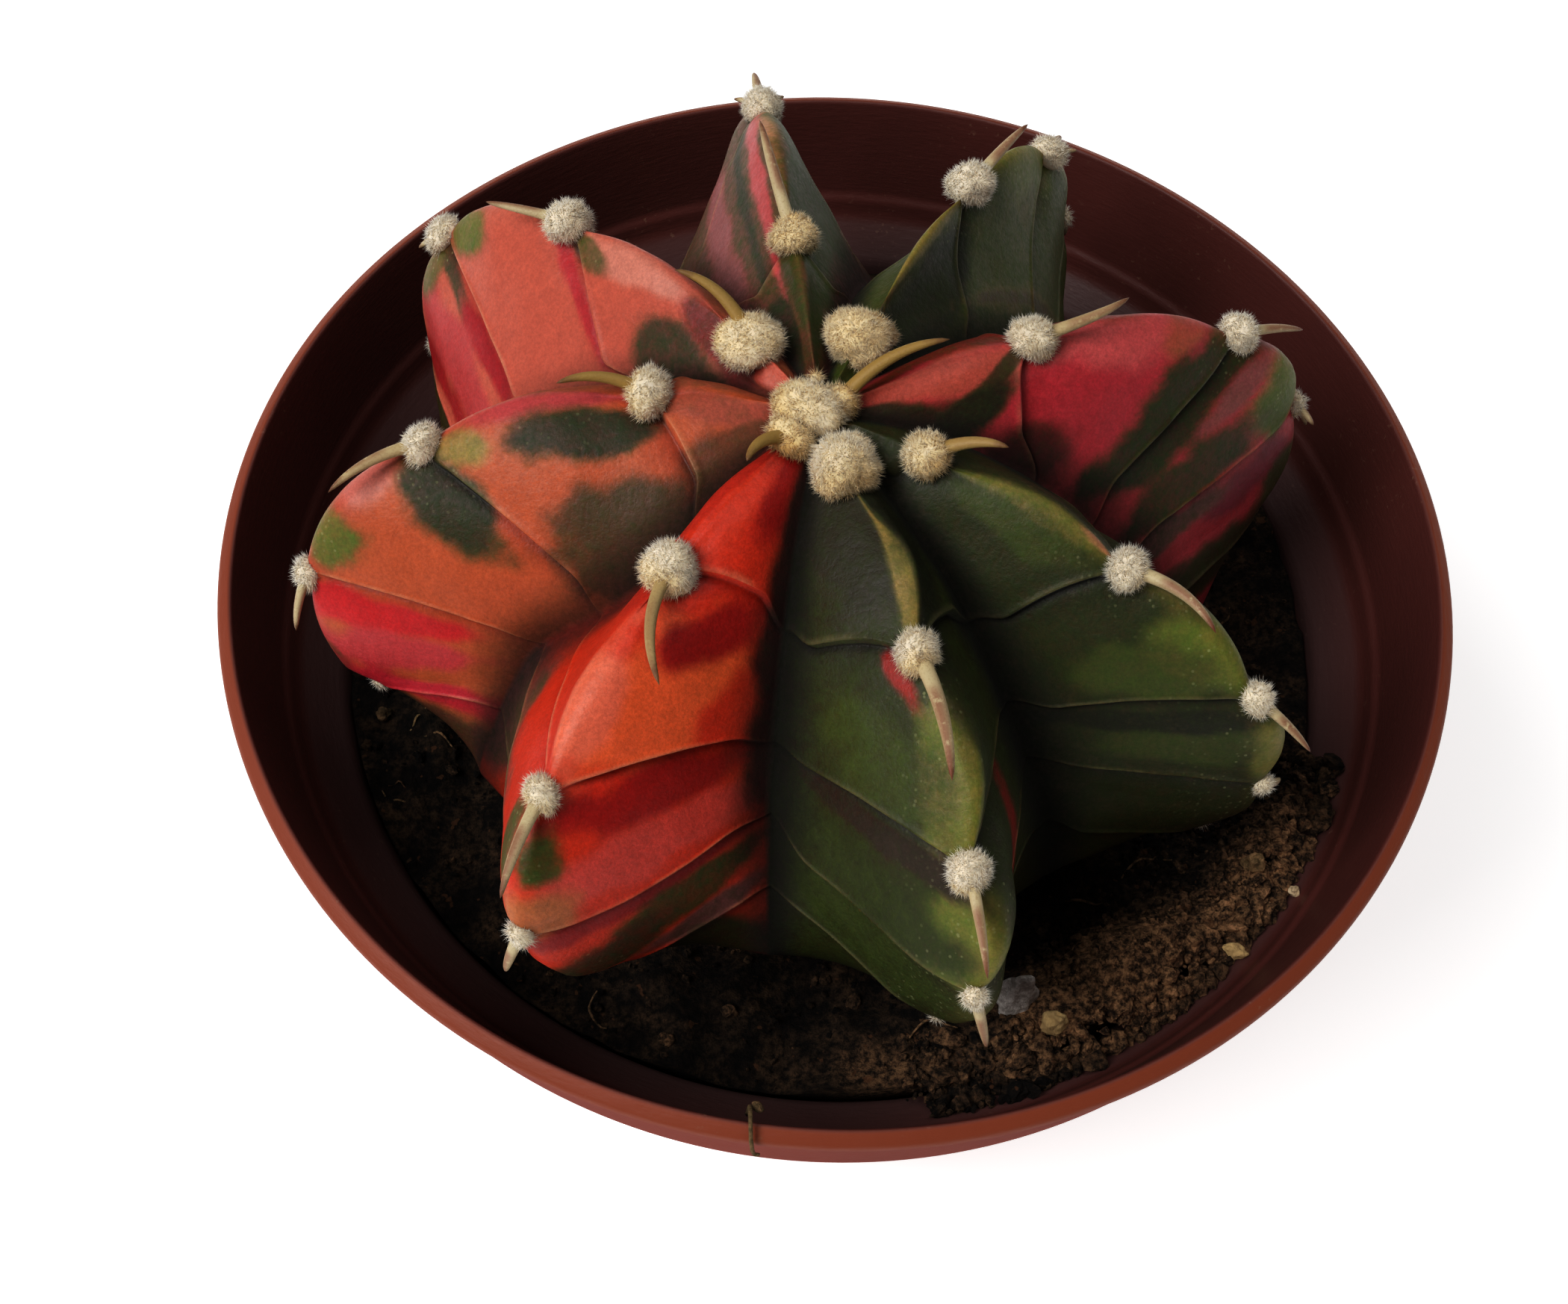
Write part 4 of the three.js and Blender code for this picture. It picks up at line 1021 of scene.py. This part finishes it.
def pot_profile():
    """Corners of the pot's section as radius, height and rounding."""
    collar_base = RIM_HEIGHT - COLLAR_DEPTH
    collar_foot = collar_base - 2 * WALL
    lip_under = RIM_HEIGHT - LIP_DEPTH
    shoulder_under = WALL_TOP - WALL
    return [
        (0, FOOT_RECESS, 0),
        (FOOT_RADIUS - FOOT_WIDTH, FOOT_RECESS, 0.4),
        (FOOT_RADIUS - FOOT_WIDTH, 0, 0.25),
        (FOOT_RADIUS, 0, 0.4),
        (inner_wall_radius(shoulder_under) + WALL, shoulder_under, 0.8),
        (COLLAR_RADIUS + WALL - LEDGE_STEP, collar_foot, 0.4),
        (COLLAR_RADIUS + WALL, collar_foot + 2 * LEDGE_STEP, 0.3),
        (RIM_RADIUS - LIP_OVERHANG, lip_under - LIP_OVERHANG, 0.2),
        (RIM_RADIUS, lip_under, 0.25),
        (RIM_RADIUS, RIM_HEIGHT - LIP_TILT, 0.4),
        (RIM_RADIUS - LIP_WIDTH, RIM_HEIGHT + LIP_TILT, 0.3),
        (COLLAR_RADIUS + LEDGE_STEP, collar_base + LEDGE_STEP, 0.3),
        (COLLAR_RADIUS, collar_base, 0.2),
        (COLLAR_RADIUS - LEDGE_STEP, collar_base - WALL, 0.5),
        (SHOULDER_RADIUS, WALL_TOP, 0.5),
        (inner_wall_radius(FLOOR_TOP), FLOOR_TOP, FLOOR_CORNER),
        (0, FLOOR_TOP, 0),
    ]


def rounded_line(corners, steps=4):
    """The corners' line with each corner replaced by a short curve."""
    places = [np.array(corner[:2], float) for corner in corners]
    line = [places[0]]
    for before, here, after, corner in zip(places, places[1:], places[2:], corners[1:]):
        back, onward = before - here, after - here
        reach = min(corner[2], 0.45 * np.linalg.norm(back), 0.45 * np.linalg.norm(onward))
        start, end = here + unit(back) * reach, here + unit(onward) * reach
        for share in np.linspace(0, 1, steps + 1):
            line.append(blend(blend(start, here, share), blend(here, end, share), share))
    line.append(places[-1])
    return np.array(line)


POT_SEGMENTS = 240
POT_STEP = 1.2
RIM_WOBBLE, WOBBLE_FROM = 0.06, 30
DRAIN_SIDES = 40
# A painted sheen lies on the shoulder inside, between these radii and heights
SHEEN_RADII, SHEEN_HEIGHTS = (26, 26.8), ((31, 32.5), (34.0, 34.8))


def pot_material():
    shader = Shader("pot", Specular_IOR_Level=0.35)
    _, (lip, inside, low) = shader.marks("marks")
    broad = shader.noise(9, 3)
    fine = shader.noise(0.6, 4, 0.65)
    plastic = shader.mix(broad, srgb(124, 54, 40), srgb(140, 64, 46))
    # Painted shade: the inside is darker and greyer than the outside
    plastic = shader.mix(inside, plastic, shader.mix(broad, srgb(86, 46, 42), srgb(102, 55, 48)))
    # Painted sheen: the shoulder inside is greyer and a little lighter
    plastic = shader.mix(low, plastic, srgb(88, 62, 60))
    plastic = shader.mix(lip, plastic, srgb(138, 71, 47))
    specks = shader.ramp(shader.noise(0.35, 3), 0.62, 0.74)
    dust = shader.times(specks, shader.ramp(broad, 0.45, 0.7), 0.4)
    colour = shader.mix(dust, plastic, srgb(150, 120, 100))

    # The outside is weathered, and the lip and the inside are glossier
    weathered = shader.times(shader.minus(1.0, shader.maths("MAXIMUM", lip, inside)), 0.4)
    roughness = shader.plus(shader.spread(fine, 0.42, 0.58), weathered)
    scuffs = shader.noise(1.2, 4, 0.6, stretch=(1, 1, 6))
    return shader.finish(colour, roughness, bumps=[(scuffs, 0.03), (fine, 0.015)])


def pot_section():
    """Radii and heights of points of the pot's section, less than two steps apart."""
    line = rounded_line(pot_profile())
    dense = [line[0]]
    for before, here in zip(line, line[1:]):
        steps = max(1, int(np.linalg.norm(here - before) / POT_STEP))
        dense += [blend(before, here, share) for share in np.linspace(0, 1, steps + 1)[1:]]
    return np.array(dense).T


def pot_marks(radius, z):
    """How far each point of the section belongs to the lip, the inside with its painted shade, and the
    painted sheen on the shoulder.
    """
    lip = smooth(radius, RIM_RADIUS - LIP_WIDTH, RIM_RADIUS - 0.7 * LIP_WIDTH)
    lip = lip * smooth(z, RIM_HEIGHT - LIP_DEPTH, RIM_HEIGHT - LIP_TILT)
    inside = (np.arange(len(z)) >= np.argmax(z)).astype(float)
    low = inside * smooth(radius, *SHEEN_RADII) * within(z, *SHEEN_HEIGHTS)
    return together(lip, inside, low)


def make_pot():
    radius, z = pot_section()
    azimuths = np.linspace(0, 2 * np.pi, POT_SEGMENTS, endpoint=False)
    waves = np.sin(2 * azimuths + 0.7) + 0.5 * np.sin(5 * azimuths) - 1.5
    wobble = RIM_WOBBLE * waves * smooth(z[1:-1, None], WOBBLE_FROM, RIM_HEIGHT)
    rings = polar(radius[1:-1, None] + wobble, azimuths, z[1:-1, None])
    points, faces = close_rings((0, 0, z[0]), rings, (0, 0, z[-1]), inside_out=True)
    shown = add_object("pot_body", points, faces, pot_material())
    marks = pot_marks(radius, z)
    around = np.repeat(marks[1:-1], POT_SEGMENTS, axis=0)
    add_values(shown, "marks", np.concatenate([marks[:1], around, marks[-1:]]))
    drill_drains(shown)
    return shown


def drill_drains(shown):
    drills = []
    for hole in range(DRAIN_HOLES):
        place = Vector(polar(DRAIN_RING, 2 * math.pi * hole / DRAIN_HOLES, FLOOR_TOP)) * MM
        bpy.ops.mesh.primitive_cylinder_add(
            vertices=DRAIN_SIDES, radius=DRAIN_RADIUS * MM, depth=3 * FLOOR_TOP * MM, location=place
        )
        drill = bpy.context.object
        cut = shown.modifiers.new("drain", "BOOLEAN")
        cut.object, cut.operation, cut.solver = drill, "DIFFERENCE", "EXACT"
        drills.append(drill)
    graph = bpy.context.evaluated_depsgraph_get()
    cut_mesh = bpy.data.meshes.new_from_object(shown.evaluated_get(graph))
    shown.modifiers.clear()
    shown.data = cut_mesh
    for drill in drills:
        bpy.data.objects.remove(drill)


# The soil: a dark lumpy plug with mounds, crumbs, bits of bark and stone, and fine roots
MOUNDS = [(-55, 25.5, 4.2, 13, 3), (-30, 27, 2.4, 14, 2.6), (-82, 26, 1.5, 9, 3)]


def mound_height(radius, azimuth):
    height = 0
    for middle, distance, tall, across, along in MOUNDS:
        turn = (np.degrees(azimuth) - middle + 180) % 360 - 180
        height = height + tall * bell(np.hypot(turn / across, (radius - distance) / along))
    return height


def soil_height(x, y):
    radius, azimuth = np.hypot(x, y), np.arctan2(y, x)
    coarse = np.sin(0.42 * x + 1.3) * np.cos(0.37 * y - 0.6)
    fine = np.sin(0.95 * x - 0.7 * y) * np.cos(0.8 * y + 0.5 * x + 2)
    calm = smooth(np.hypot(x - PLANT[0], y - PLANT[1]), CALM_RADIUS, 2 * CALM_RADIUS)
    return SOIL_LEVEL + calm * LUMP_HEIGHT * (coarse + 0.7 * fine) + mound_height(radius, azimuth)


def soil_material():
    shader = Shader("soil", Specular_IOR_Level=0.25, Roughness=0.95)
    _, (dry, pale, grey) = shader.marks("marks")
    grain = shader.noise(0.45, 5, 0.75)
    grit = shader.ramp(grain, 0.36, 0.68)
    clods = shader.noise(2.2, 4, 0.6)
    wet = shader.mix(grit, srgb(5, 4, 3), srgb(30, 22, 17))
    light = shader.mix(grit, srgb(40, 29, 22), srgb(196, 152, 112))
    colour = shader.mix(shader.plus(dry, shader.swing(clods, 0.6), clamped=True), wet, light)
    flecks = shader.times(shader.ramp(shader.noise(0.8, 2), 0.66, 0.7), 0.6)
    colour = shader.mix(flecks, colour, srgb(104, 70, 46))
    colour = shader.mix(pale, colour, shader.mix(grain, srgb(176, 142, 94), srgb(252, 224, 166)))
    colour = shader.mix(grey, colour, shader.mix(grit, srgb(188, 178, 170), srgb(255, 250, 244)))
    return shader.finish(colour, bumps=[(clods, 0.4), (grain, 0.3)])


SOIL_COLUMNS, SOIL_RINGS = 260, 84
CLOD_HEIGHT, CLOD_SIZE = 0.55, 2.6


def make_soil(material):
    azimuths = np.linspace(0, 2 * np.pi, SOIL_COLUMNS, endpoint=False)
    hole_floor = SOIL_LEVEL - ROOT_DEPTH - SOIL_GAP
    plug_floor = FLOOR_TOP + SOIL_GAP
    hole = [PLANT + polar(ROOT_HOLE_RADIUS, azimuths, z) for z in (hole_floor, SOIL_LEVEL)]
    outer = polar(SHOULDER_RADIUS - SOIL_GAP, azimuths, 0)
    top = []
    for share in np.linspace(0, 1, SOIL_RINGS)[1:]:
        ring = blend(PLANT + polar(ROOT_HOLE_RADIUS, azimuths, 0), outer, share)
        ring[:, 2] = soil_height(ring[:, 0], ring[:, 1])
        clods = rough(ring, CLOD_SIZE, 5, seed=11)
        ring[:, 2] += CLOD_HEIGHT * (clods + 0.4 * np.abs(clods)) * smooth(share, 0, 0.1)
        top.append(ring)
    lower = [
        (SOIL_GAP, WALL_TOP - WALL),
        (2 * SOIL_GAP, FLOOR_TOP + FLOOR_CORNER + SOIL_GAP),
        (FLOOR_CORNER + 2 * SOIL_GAP, plug_floor),
    ]
    walls = [polar(inner_wall_radius(z) - inset, azimuths, z) for inset, z in lower]
    points, faces = close_rings(PLANT + (0, 0, hole_floor), hole + top + walls, (0, 0, plug_floor))
    shown = add_object("soil_top", points, faces, material)
    add_values(shown, "marks", together(soil_dryness(points[:, 0], points[:, 1]), 0.0, 0.0))
    return shown


def soil_dryness(x, y):
    """Soil that is heaped up dries out and turns pale brown."""
    heaped = mound_height(np.hypot(x, y), np.arctan2(y, x))
    return 0.06 + 0.85 * smooth(heaped, 0.5, 2.8)


# Crumbs lie all over the soil, in the mound, and where the mound spills onto the pot's shoulder. Each kind
# has a number, azimuths, distances from the pot's axis and half sizes.
CRUMBS = [
    (2600, (-180, 180), (9, 26.6), (0.05, 0.3)),
    (3400, (-80, -14), (20.5, 27.5), (0.05, 0.3)),
    (700, (-78, -14), (26.4, 29.2), (0.2, 0.55)),
]
# A crumb's three half sizes as shares of its size, how far it stands up, and from what size it is rounder
CRUMB_SHAPE, CRUMB_LIFT, LARGE_CRUMB = (0.55, 1.4), 0.4, 0.25
SHOULDER_SLOPE = 0.65
# The pot's inside as heights and radii, a little within its wall
INSIDE_HEIGHTS = (0, WALL_TOP, WALL_TOP + 1.7, RIM_HEIGHT)
INSIDE_RADII = (FOOT_RADIUS - WALL, SHOULDER_RADIUS, 29.2, 31.0)


def ground_height(x, y):
    """Height of the soil, or of the pot's shoulder where crumbs lie on that."""
    shoulder = WALL_TOP + SHOULDER_SLOPE * (math.hypot(x, y) - SHOULDER_RADIUS)
    return max(float(soil_height(x, y)), shoulder)


def clear_of_pot(x, y, z, margin):
    """Moves a point inwards where it would reach the pot's inside."""
    inner = np.interp(z, INSIDE_HEIGHTS, INSIDE_RADII) - margin
    scale = min(1, inner / math.hypot(x, y))
    return x * scale, y * scale


def add_lump(parts, place, size, generator, value, detail=1, jagged=0.35, turned=True):
    points, faces = SPHERES[detail]
    swell = 1 + jagged * rough(points * 1.3 + np.array(place), 1.2, 2, seed=generator.integers(100))
    lump = points * swell[:, None] * np.array(size)
    if turned:
        turn = np.linalg.qr(generator.normal(size=(3, 3)))[0]
        lump = lump @ (turn * np.sign(np.linalg.det(turn)))
    parts.add(np.array(place) + lump, triangles=faces, value=value)


def make_crumbs(material):
    generator = np.random.default_rng(7)
    parts = Parts()
    for number, azimuths, radii, sizes in CRUMBS:
        for _ in range(number):
            azimuth = math.radians(generator.uniform(*azimuths))
            radius = math.sqrt(generator.uniform(radii[0] ** 2, radii[1] ** 2))
            size = blend(*sizes, generator.uniform(0, 1) ** 2.5)
            x, y = radius * math.cos(azimuth), radius * math.sin(azimuth)
            z = ground_height(x, y) + CRUMB_LIFT * size
            x, y = clear_of_pot(x, y, z, size)
            dryness = float(soil_dryness(x, y)) + generator.normal(scale=0.12)
            shape = size * generator.uniform(*CRUMB_SHAPE, size=3)
            detail = 1 if size > LARGE_CRUMB else 0
            add_lump(parts, (x, y, z), shape, generator, (dryness, 0, 0), detail, jagged=0.7)
    return parts.make("soil_crumbs", material, smoothed=False)


# Bits in the soil: azimuth, distance from the pot's axis, half sizes, dryness, paleness and greyness. A bit
# is made a little smaller than its row says, because its roughness swells it.
BIT_SHARE, BIT_LIFT = 0.85, 0.4
BITS = [
    (-65.5, 24.2, (1.1, 0.8, 3.2), 0.3, 0, 1),
    (-63, 26.2, (0.8, 0.6, 1.2), 0.5, 1, 0),
    (-41, 28.1, (1.0, 0.5, 0.6), 0.8, 0.9, 0),
    (-31, 28.9, (0.35, 0.35, 0.35), 0.8, 0.9, 0.3),
    (-31, 26.4, (0.7, 0.6, 0.9), 0.8, 0.2, 0),
    (-101, 23, (0.5, 0.4, 0.4), 0.4, 0, 0),
    (-107, 25.6, (0.5, 0.4, 0.4), 0.4, 0, 0),
    (-165, 25.2, (0.5, 0.4, 0.4), 0.3, 0.1, 0),
    (-74, 24.9, (0.9, 0.6, 0.6), 0.5, 0, 0),
    (40, 26, (0.9, 0.7, 0.7), 0.4, 0.2, 0.2),
    (118, 25.9, (0.8, 0.8, 0.6), 0.4, 0.1, 0),
]


def make_bits(material):
    generator = np.random.default_rng(19)
    parts = Parts()
    for azimuth, radius, size, *look in BITS:
        x, y = radius * math.cos(math.radians(azimuth)), radius * math.sin(math.radians(azimuth))
        place = (x, y, ground_height(x, y) + BIT_LIFT)
        shape = np.array(size) * BIT_SHARE
        add_lump(parts, place, shape, generator, look, detail=3, jagged=0.4, turned=False)
    return parts.make("soil_bits", material)


# Rootlets: their number, the radius they lie within, and their lengths, radii and bends
ROOTLETS, ROOTLET_REACH = 34, 26
ROOTLET_LENGTHS, ROOTLET_RADII, ROOTLET_BENDS = (1.0, 3.2), (0.04, 0.08), (-1.2, 1.2)
RIM_ROOT_AZIMUTH, RIM_ROOT_RADIUS = -95.6, 0.13


def rim_root():
    """The line of a root that comes up inside the pot and hangs over its rim, hooked at the end."""
    azimuth = RIM_ROOT_AZIMUTH + np.array((-0.2, 0, 0.1, 0.3, 0.5, 0.7, 0.9, 1.3))
    radius = RIM_RADIUS + np.array((-1.7, -1.65, -1.3, -0.7, -0.1, 0.22, 0.28, 0.25))
    above_rim = np.array((-1.0, 0.2, 0.7, 0.65, 0.2, -0.3, -0.6, -0.65))
    return polar(radius, np.radians(azimuth), RIM_HEIGHT + above_rim)


def make_rootlets(material):
    """Fine dry roots in the soil, and one that hangs over the rim with a crumb on it."""
    generator = np.random.default_rng(31)
    parts = Parts()
    share = np.linspace(-0.5, 0.5, 9)
    for _ in range(ROOTLETS):
        azimuth = generator.uniform(-np.pi, np.pi)
        radius = ROOTLET_REACH * math.sqrt(generator.uniform(0.3, 1))
        heading = generator.uniform(-np.pi, np.pi)
        length = generator.uniform(*ROOTLET_LENGTHS)
        bend = generator.uniform(*ROOTLET_BENDS)
        x = radius * math.cos(azimuth) + length * share * np.cos(heading + bend * share)
        y = radius * math.sin(azimuth) + length * share * np.sin(heading + bend * share)
        x, y = np.array([clear_of_pot(a, b, SOIL_LEVEL, 0.5) for a, b in zip(x, y)]).T
        z = soil_height(x, y) + 0.45 + 0.25 * np.sin(3 * np.pi * share + 1)
        radii = generator.uniform(*ROOTLET_RADII) * (1 - 1.6 * share**2)
        tube = sweep(together(x, y, z)[None], radii[None], 5, [(0, 0, 1.0)])
        parts.add(*tube, value=(0.7, generator.uniform(0, 0.35), 0))
    line = rim_root()
    radii = RIM_ROOT_RADIUS * np.linspace(1, 0.7, len(line))
    beside = polar(1.0, np.radians([RIM_ROOT_AZIMUTH + 90]), 0)
    parts.add(*sweep(line[None], radii[None], 6, beside), value=(0.3, 0.2, 0))
    add_lump(parts, line[1] + (0.35, 0, 0), (0.32, 0.25, 0.25), generator, (0.5, 0.1, 0))
    return parts.make("soil_rootlets", material)


# The floor, the light and the camera
WORLD_LIGHT = 0.12
FLOOR_SIZE, FLOOR_GLOW = 4, 0.6
# Lights: name, direction from the plant, distance and size in metres, and power
LIGHTS = [
    ("key", (-0.56, -0.29, 0.8), 0.9, 0.5, 7.5),
    ("top", (0.25, 0.35, 1.0), 0.9, 0.6, 2.0),
]


def make_floor():
    shader = Shader(
        "floor",
        Roughness=0.9,
        Specular_IOR_Level=0.1,
        Emission_Color=(1, 1, 1, 1),
        Emission_Strength=FLOOR_GLOW,
    )
    shader.finish(srgb(240, 240, 240))
    bpy.ops.mesh.primitive_plane_add(size=FLOOR_SIZE)
    floor = bpy.context.object
    floor.name = "floor"
    floor.data.materials.append(shader.material)


def make_lights():
    world = bpy.data.worlds.new("world")
    world.use_nodes = True
    background = world.node_tree.nodes["Background"].inputs
    background["Color"].default_value = (1.0, 0.985, 0.96, 1)
    background["Strength"].default_value = WORLD_LIGHT
    bpy.context.scene.world = world
    centre = Vector((0, 0, RIM_HEIGHT)) * MM
    for name, direction, distance, size, power in LIGHTS:
        light = bpy.data.lights.new(name, "AREA")
        light.size, light.energy = size, power
        lamp = bpy.data.objects.new(name, light)
        aim = Vector(direction).normalized()
        lamp.location = centre + aim * distance
        lamp.rotation_euler = aim.to_track_quat("Z", "Y").to_euler()
        bpy.context.scene.collection.objects.link(lamp)


CAMERA_PLACE = (-2.58, -63.95, RIM_HEIGHT + 99.59)
CAMERA_DROP, CAMERA_ROLL = 60, 3.1
SENSOR, LENS = 36, 51.43


def make_camera():
    camera = bpy.data.cameras.new("camera")
    camera.sensor_width, camera.lens, camera.clip_start = SENSOR, LENS, 0.005
    shown = bpy.data.objects.new("camera", camera)
    bpy.context.scene.collection.objects.link(shown)
    tilt = Matrix.Rotation(math.radians(90 - CAMERA_DROP), 3, "X")
    roll = Matrix.Rotation(math.radians(CAMERA_ROLL), 3, "Z")
    shown.rotation_euler = (tilt @ roll).to_euler()
    shown.location = Vector(CAMERA_PLACE) * MM
    bpy.context.scene.camera = shown
    set_contrast(bpy.context.scene.view_settings)


# Brightness in and brightness out of the photograph's strong contrast
CONTRAST = [(0.05, 0.022), (0.2, 0.13), (0.5, 0.45)]


def set_contrast(settings):
    settings.view_transform = "Standard"
    settings.use_curve_mapping = True
    curve = settings.curve_mapping.curves[3]
    for place in CONTRAST:
        curve.points.new(*place)
    settings.curve_mapping.update()


def ride_all(shown, node=None):
    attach(shown, "root")
    if node:
        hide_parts(node)


make_camera()
make_floor()
make_lights()
ride_all(make_skin(), "cactus")
wool = wool_material()
for rib in RIBS:
    ride_all(make_wool(rib, wool))
ride_all(make_spines())
ride_all(make_pot(), "pot")
soil = soil_material()
ride_all(make_soil(soil), "soil")
for piece in (make_crumbs(soil), make_bits(soil), make_rootlets(soil)):
    ride_all(piece)
